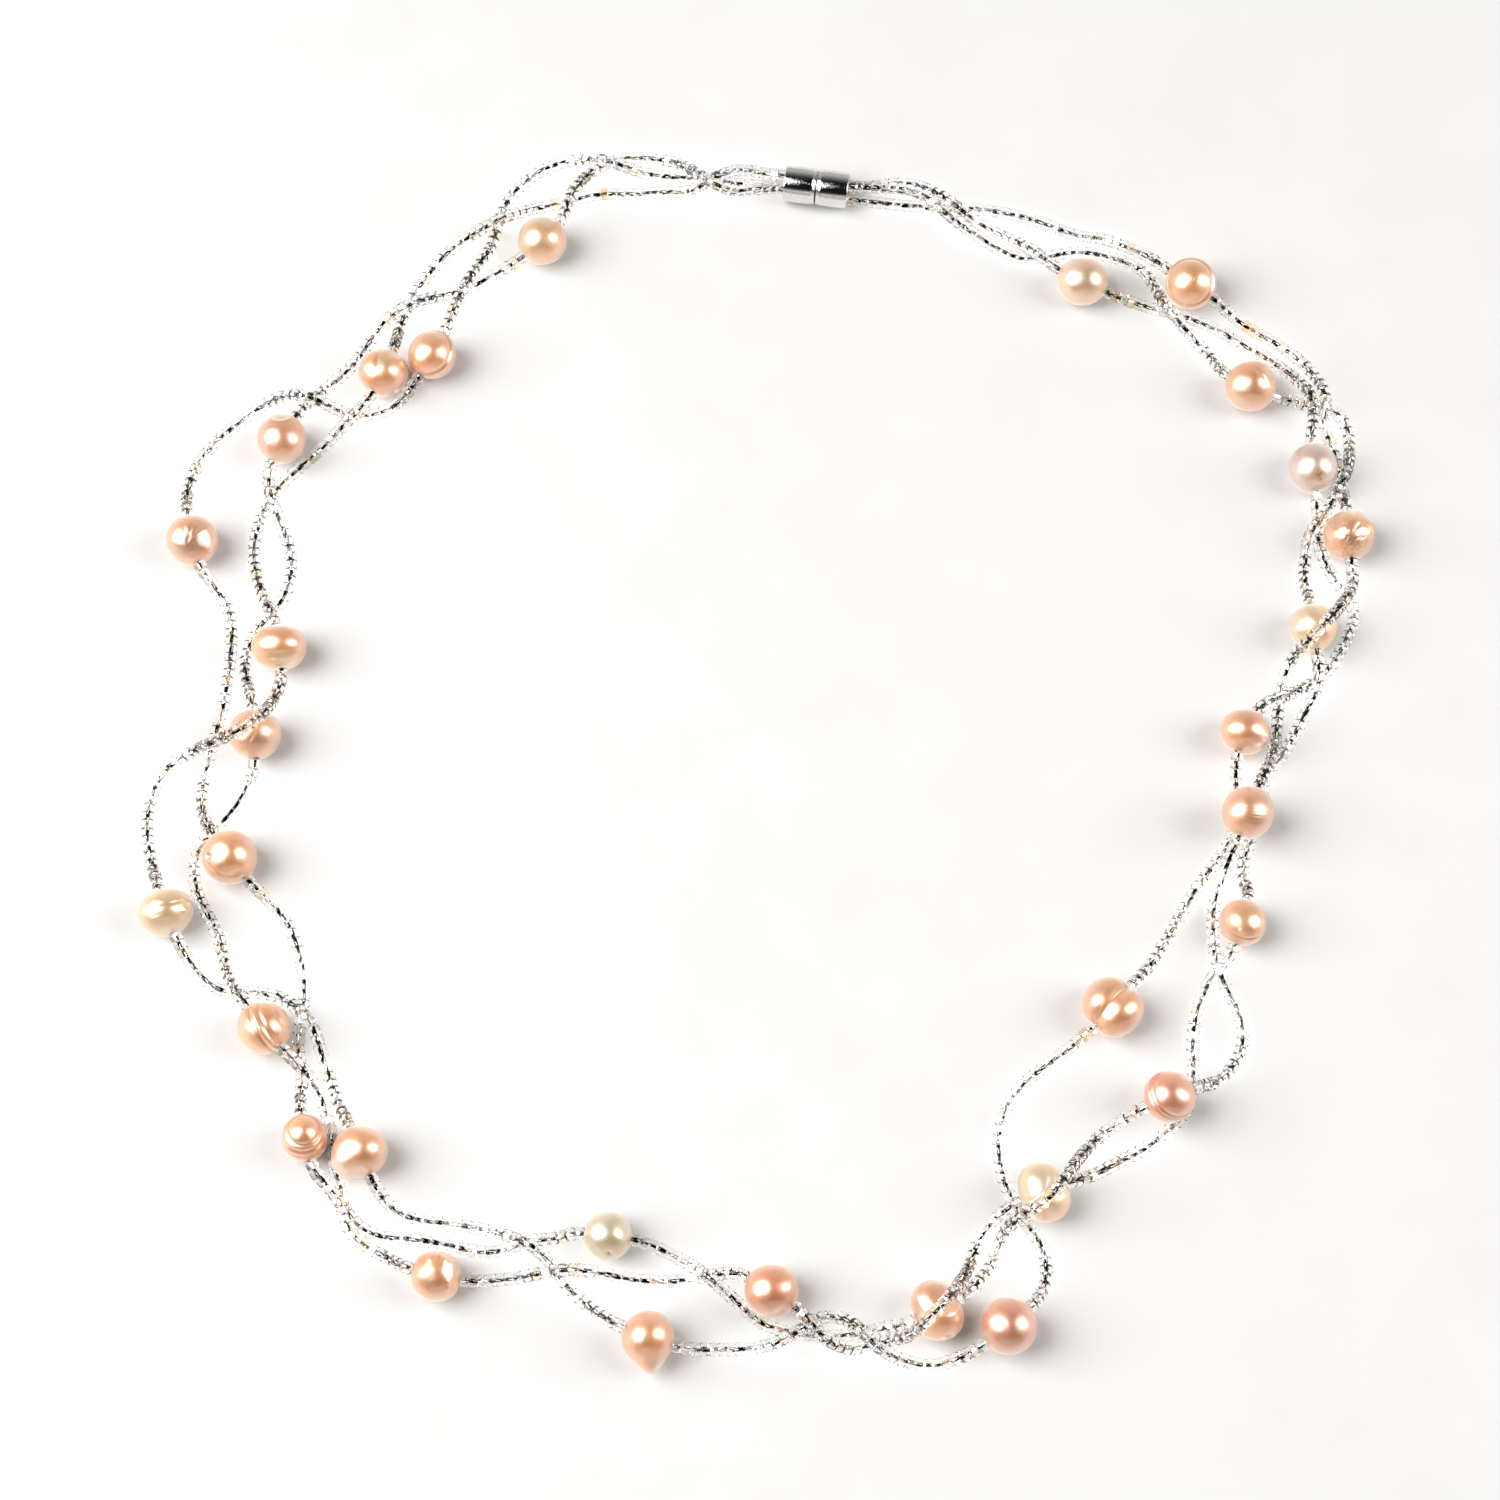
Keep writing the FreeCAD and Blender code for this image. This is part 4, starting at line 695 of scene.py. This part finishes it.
def pearl_reach(local, wide, high, long, twin):
    """Distance from a pearl's middle to its plain surface along each local direction.

    The three sizes are halves. A twin pearl is two lobes, side by side across the hole."""
    across, up, ahead = local.T
    if not twin:
        return 1.0 / np.sqrt((across / wide) ** 2 + (up / high) ** 2 + (ahead / long) ** 2)
    second_size, lobe_width = twin
    half = lobe_width * wide
    reaches = []
    for side, size in ((-1, 1.0), (1, second_size)):
        offset = side * (wide - half)
        a = (across / half) ** 2 + (up / (high * size)) ** 2 + (ahead / (long * size)) ** 2
        b = -2 * across * offset / half ** 2
        c = (offset / half) ** 2 - 1
        reaches.append((-b + np.sqrt(b * b - 4 * a * c)) / (2 * a))
    near, far = np.minimum(*reaches), np.maximum(*reaches)
    return far + 0.3 * MM * np.exp(-(far - near) / (0.7 * MM))


def make_pearl(number, line, material):
    """One pearl over its CAD node. Returns its place along the line, and how far off its beads stop."""
    node = f"pearl_{number:02d}"
    low_corner, high_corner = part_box(node)
    distance = line.nearest((low_corner + high_corner) / 2)
    middle = line.at(distance)
    axis = line.heading(distance)
    axes = np.stack([*cross_axes(axis), axis])
    extent = np.array([vertex.co[:] for vertex in frame["nodes"][node].data.vertices]) @ axes.T
    wide, high, long = np.ptp(extent, axis=0) / 2
    middle = middle + axis * ((extent[:, 2].max() + extent[:, 2].min()) / 2 - middle @ axis)
    mouth = math.asin(PEARL_HOLE_RADIUS / high)
    polar = np.linspace(mouth, math.pi - mouth, PEARL_RINGS)[:, None]
    turn = turns(PEARL_SIDES)[None, :]
    local = np.stack([
        np.sin(polar) * np.cos(turn),
        np.sin(polar) * np.sin(turn),
        np.repeat(np.cos(polar), PEARL_SIDES, axis=1),
    ], axis=-1).reshape(-1, 3)
    ways = local @ axes
    looks = PEARLS[number]
    past_mouth = (np.arccos(np.abs(local[:, 2])) - mouth) / 0.15
    height = relief(ways, number, looks) * np.clip(past_mouth, 0.0, 1.0)
    reach = pearl_reach(local, wide, high, long, TWINS.get(number))
    outside = middle + ways * (reach + height)[:, None]
    colours = body_colour(ways, number, looks, height)
    bore = np.concatenate([outside[-PEARL_SIDES:] * (1 - share) + outside[:PEARL_SIDES] * share
                           for share in BORE_SHARES])
    vertices = above_floor(np.concatenate([outside, bore]))
    faces = grid_faces(PEARL_RINGS + len(BORE_SHARES), PEARL_SIDES, True)
    piece = mesh_object(f"Pearl_{number:02d}", vertices, faces[:, ::-1], [material])
    # The bore is painted at 0.7 of the pearl's mean colour: painted shade inside the hole.
    paint(piece, "nacre", np.concatenate([colours, np.tile(colours.mean(axis=0) * 0.7, (len(bore), 1))]))
    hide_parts(node)
    for body, nodes in frame["record"]["behaviour"]["bodies"].items():
        if node in nodes:
            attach(piece, body)
    return distance, long - BEAD_INTO_PEARL


# ---- Thread and seed beads ----


def make_thread(name, line, first, last, material):
    """A thread of three twisted plies between two distances along a line."""
    steps = int((last - first) / (0.3 * MM)) + 1
    distance = np.linspace(first, last, steps)
    middle = line.at(distance)
    level, upright = cross_axes(line.heading(distance))
    turn = turns(THREAD_SIDES)
    twist = 2 * math.pi * distance / THREAD_TWIST
    ply = 1.0 + 0.13 * np.cos(3 * turn[None, :] - twist[:, None])
    radius = THREAD_DIAMETER / 2 * ply
    surface = around_axis(middle[:, None, :], radius, turn, level[:, None, :], upright[:, None, :])
    faces = [tuple(face) for face in grid_faces(steps, THREAD_SIDES, False)]
    faces.append(tuple(range(THREAD_SIDES))[::-1])
    faces.append(tuple(range((steps - 1) * THREAD_SIDES, steps * THREAD_SIDES)))
    piece = mesh_object(name, surface.reshape(-1, 3), faces, [material])
    return piece, [tuple(point) for point in middle]


def bead_profile(half, radius):
    """The closed outline of a seed bead as (along, out) points: round shoulders, then the hole."""
    hole = BEAD_HOLE_RADIUS
    soft = 0.34 * MM
    left = [(-half, hole + BEAD_CHAMFER), (-half, radius - soft * 1.15)]
    for step in range(1, 5):
        angle = math.pi / 2 * step / 4
        left.append((-half + soft * (1 - math.cos(angle)), radius - soft + soft * math.sin(angle)))
    right = [(-along, out) for along, out in left[::-1]]
    inside = [(half - BEAD_CHAMFER, hole), (-half + BEAD_CHAMFER, hole)]
    return left + right + inside


def bead_surface(line, start, width, turn, chance):
    """One bead's rings of points, from start along the line; tilt, turn and girth vary from bead to bead."""
    middle = line.at(start + width / 2)
    heading = line.heading(start + width / 2, width / 2)
    heading = heading + np.array([chance.gauss(0, 0.035) for _ in range(3)])
    heading /= np.linalg.norm(heading)
    level, upright = cross_axes(heading)
    roll = chance.uniform(0, 2 * math.pi)
    side = math.cos(roll) * level + math.sin(roll) * upright
    radius = BEAD_RADIUS * chance.uniform(0.95, 1.02)
    profile = np.array(bead_profile((width - BEAD_GAP) / 2, radius))
    out = np.repeat(profile[:, 1][:, None], BEAD_SIDES, axis=1)
    out[[0, -3, -2, -1]] *= (np.abs(np.cos(turn)) ** 5 + np.abs(np.sin(turn)) ** 5) ** (-1 / 5)
    middles = middle + profile[:, 0][:, None, None] * heading
    return around_axis(middles, out, turn, side, np.cross(heading, side))


def make_beads(name, line, spans, seed, materials):
    """Rows of seed beads, no two quite alike, that fill the spans of a line."""
    chance = random.Random(seed)
    turn = turns(BEAD_SIDES)
    vertices, faces, indices, tints = [], [], [], []
    start = 0
    for first, last in spans:
        count = max(1, round((last - first) / BEAD_PITCH))
        shares = [chance.uniform(0.88, 1.12) for _ in range(count)]
        scale = (last - first) / sum(shares)
        place = first
        for share in shares:
            points = bead_surface(line, place, share * scale, turn, chance)
            place += share * scale
            rings = len(points)
            vertices.append(points.reshape(-1, 3))
            faces.append(grid_faces(rings, BEAD_SIDES, True, start))
            kinds = np.zeros((rings, BEAD_SIDES), dtype=int)
            kinds[-3:] = 1
            indices.append(kinds.ravel())
            tints.append(np.tile(bead_tint(chance), (rings * BEAD_SIDES, 1)))
            start += rings * BEAD_SIDES
    vertices = above_floor(np.concatenate(vertices))
    indices = np.concatenate(indices)
    piece = mesh_object(name, vertices, np.concatenate(faces), materials, indices)
    paint(piece, "tint", np.concatenate(tints))
    piece.data.polygons.foreach_set("use_smooth", indices == 0)
    piece.visible_shadow = False
    return piece


def bead_tint(chance):
    pick = chance.random()
    if pick < 0.004:
        return np.array(linear(250, 222, 176))
    if pick < 0.10:
        return np.array(linear(250, 240, 222))
    if pick < 0.2:
        return np.array(linear(244, 244, 246))
    return np.array(linear(253, 252, 250))


def make_strand(name, materials):
    line = Line(f"line_{name}", ROUTES[name])
    places = {number: make_pearl(number, line, materials["nacre"]) for number in PEARLS_ON[name]}
    for i, (first_pearl, last_pearl, bend_start, bend_end) in enumerate(LENGTHS[name]):
        first = places[first_pearl][0] if first_pearl else 0.0
        last = places[last_pearl][0] if last_pearl else line.length
        stops = [first]
        for distance, long in places.values():
            if first < distance < last:
                stops += [distance - long, distance + long]
        if first_pearl:
            stops[0] += places[first_pearl][1]
        stops.append(last - (places[last_pearl][1] if last_pearl else 0.0))
        spans = list(zip(stops[0::2], stops[1::2]))
        beads = make_beads(f"SeedBeads_{name}_{i + 1}", line, spans, 10 * i + ord(name),
                           [materials["glass"], materials["lining"]])
        thread, path = make_thread(f"Thread_{name}_{i + 1}", line, first, last, materials["thread"])
        for piece in (beads, thread):
            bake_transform(piece)
        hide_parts(f"seed_beads_{name}_{i + 1}", f"seed_beads_{name}_{i + 2}")
        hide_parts(f"thread_{name}_{i + 1}", f"thread_{name}_{i + 2}")


# ---- Clasp ----


def make_clasp(materials):
    along = np.array([math.cos(CLASP_HEADING), math.sin(CLASP_HEADING), 0.0])
    centre = np.mean([*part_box("clasp_shell_left"), *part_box("clasp_shell_right")], axis=0)
    for side, body, heading in (("left", "left_side", along), ("right", "clasp_right_half", -along)):
        shell = make_clasp_half(f"ClaspHalf_{side}", centre, heading, materials, side)
        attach(shell, body)
        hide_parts(f"clasp_shell_{side}")
        set_material(f"clasp_plug_{side}", materials["glue"])
        set_material(f"clasp_magnet_{side}", materials["magnet"])


def make_clasp_half(name, centre, heading, materials, side):
    """Half of the barrel, turned: a rolled rim at the mouth, a slightly crowned wall, a lip at the seam."""
    long = CLASP_HALF_LENGTH
    mouth = centre - heading * (long + 0.03 * MM)
    profile = [(1.5 * MM, CLASP_BORE_RADIUS), (0.3 * MM, CLASP_BORE_RADIUS)]
    for step in range(9):
        angle = math.pi * step / 8
        out = CLASP_RADIUS - 0.32 * MM - CLASP_RIM * math.cos(angle)
        profile.append((CLASP_RIM * (1 - math.sin(angle)), out))
    wall_start = 0.5 * MM
    for step in range(13):
        share = step / 12
        crown = math.sin(math.pi * (0.12 + 0.76 * share)) ** 0.6
        profile.append((wall_start + (long - 0.95 * MM) * share, CLASP_RADIUS - 0.16 * MM * (1 - crown)))
    profile += [(long - back * MM, out * MM) for back, out in CLASP_LIP]
    profile.append((long - 0.1 * MM, CLASP_BORE_RADIUS))
    profile = np.array(profile)
    turn = turns(CLASP_SIDES)
    middles = mouth + profile[:, 0][:, None, None] * heading
    points = around_axis(middles, profile[:, 1][:, None], turn, *cross_axes(heading))
    faces = grid_faces(len(profile), CLASP_SIDES, True)
    kinds = np.zeros((len(profile), CLASP_SIDES), dtype=int)
    kinds[[0, -1]] = 1
    finishes = [materials["clasp"], materials["inside"]]
    return mesh_object(name, points.reshape(-1, 3), faces[:, ::-1], finishes, kinds.ravel())


def set_material(node, material):
    slots = frame["nodes"][node].data.materials
    slots.clear()
    slots.append(material)


# ---- Stage ----


def make_floor():
    stops = [(0.3, (0.63, 0.628, 0.626)), (0.7, (0.65, 0.65, 0.65))]
    material, _, _, shader, _ = mottled("floor_white", 60.0, 3.0, 0.5, stops)
    set_inputs(shader, Roughness=0.7)
    half = FLOOR_HALF_SIZE
    corners = [(-half, -half, 0), (half, -half, 0), (half, half, 0), (-half, half, 0)]
    floor = mesh_object("Floor", corners, [(0, 1, 2, 3)], [material], smooth=False)


def add_softbox(name, direction, width, height, radiance, colour):
    """An oval light that faces the middle of the ring."""
    way = Vector(direction).normalized()
    data = bpy.data.lights.new(name, "AREA")
    data.shape = "ELLIPSE"
    data.size = width
    data.size_y = height
    data.energy = radiance * math.pi * math.pi / 4 * width * height
    data.color = colour
    lamp = bpy.data.objects.new(name, data)
    lamp.location = way * LIGHT_DISTANCE
    lamp.rotation_euler = way.to_track_quat("Z", "Y").to_euler()
    bpy.context.scene.collection.objects.link(lamp)


def make_lights():
    add_softbox("SoftboxLeft", (-0.68, -0.02, 0.72), 0.8, 1.1, 6.6, (1.0, 0.99, 0.98))
    add_softbox("SoftboxRight", (0.80, -0.02, 0.58), 0.56, 0.86, 5.0, (1.0, 0.99, 0.98))
    add_softbox("FrontCard", (0.0, -0.93, 0.30), 1.1, 0.3, 0.6, (1.0, 0.98, 0.96))
    make_room()


def make_room():
    """The room the pieces reflect: dark towards SEEN_OUT, paler towards the walls, white as a backdrop."""
    world = bpy.data.worlds.new("Studio")
    bpy.context.scene.world = world
    world.use_nodes = True
    nodes = world.node_tree.nodes
    links = world.node_tree.links
    place = nodes.new("ShaderNodeTexCoord")
    facing = nodes.new("ShaderNodeVectorMath")
    facing.operation = "DOT_PRODUCT"
    facing.inputs[1].default_value = tuple(SEEN_OUT)
    links.new(place.outputs["Generated"], facing.inputs[0])
    walls = add_ramp(nodes, links, facing.outputs["Value"],
                     [(0.1, (0.54, 0.53, 0.52)), (0.5, (0.18, 0.175, 0.17)), (0.8, (0.012, 0.012, 0.012))])
    rays = nodes.new("ShaderNodeLightPath")
    mix = add_mix(nodes, links, "MIX", walls)
    mix.inputs["B"].default_value = (1.0, 1.0, 1.0, 1.0)
    links.new(rays.outputs["Is Camera Ray"], mix.inputs["Factor"])
    links.new(mix.outputs["Result"], nodes["Background"].inputs["Color"])


def make_camera():
    data = bpy.data.cameras.new("Camera")
    data.lens = 84.0
    data.sensor_width = 36.0
    data.clip_start = 0.01
    camera = bpy.data.objects.new("Camera", data)
    way = Vector(SEEN_OUT)
    camera.location = CAMERA_TARGET + way * CAMERA_DISTANCE
    camera.rotation_euler = way.to_track_quat("Z", "Y").to_euler()
    bpy.context.scene.collection.objects.link(camera)
    bpy.context.scene.camera = camera
    bpy.context.scene.view_settings.view_transform = "Standard"


def main():
    make_camera()
    materials = {
        "nacre": nacre(),
        "glass": bead_glass(),
        "lining": bead_lining(),
        "thread": thread_fibre(),
        "clasp": clasp_metal(),
        "inside": clasp_inside(),
        "glue": cured_glue(),
        "magnet": magnet_plating(),
    }
    for name in ROUTES:
        make_strand(name, materials)
    make_clasp(materials)
    make_floor()
    make_lights()


main()
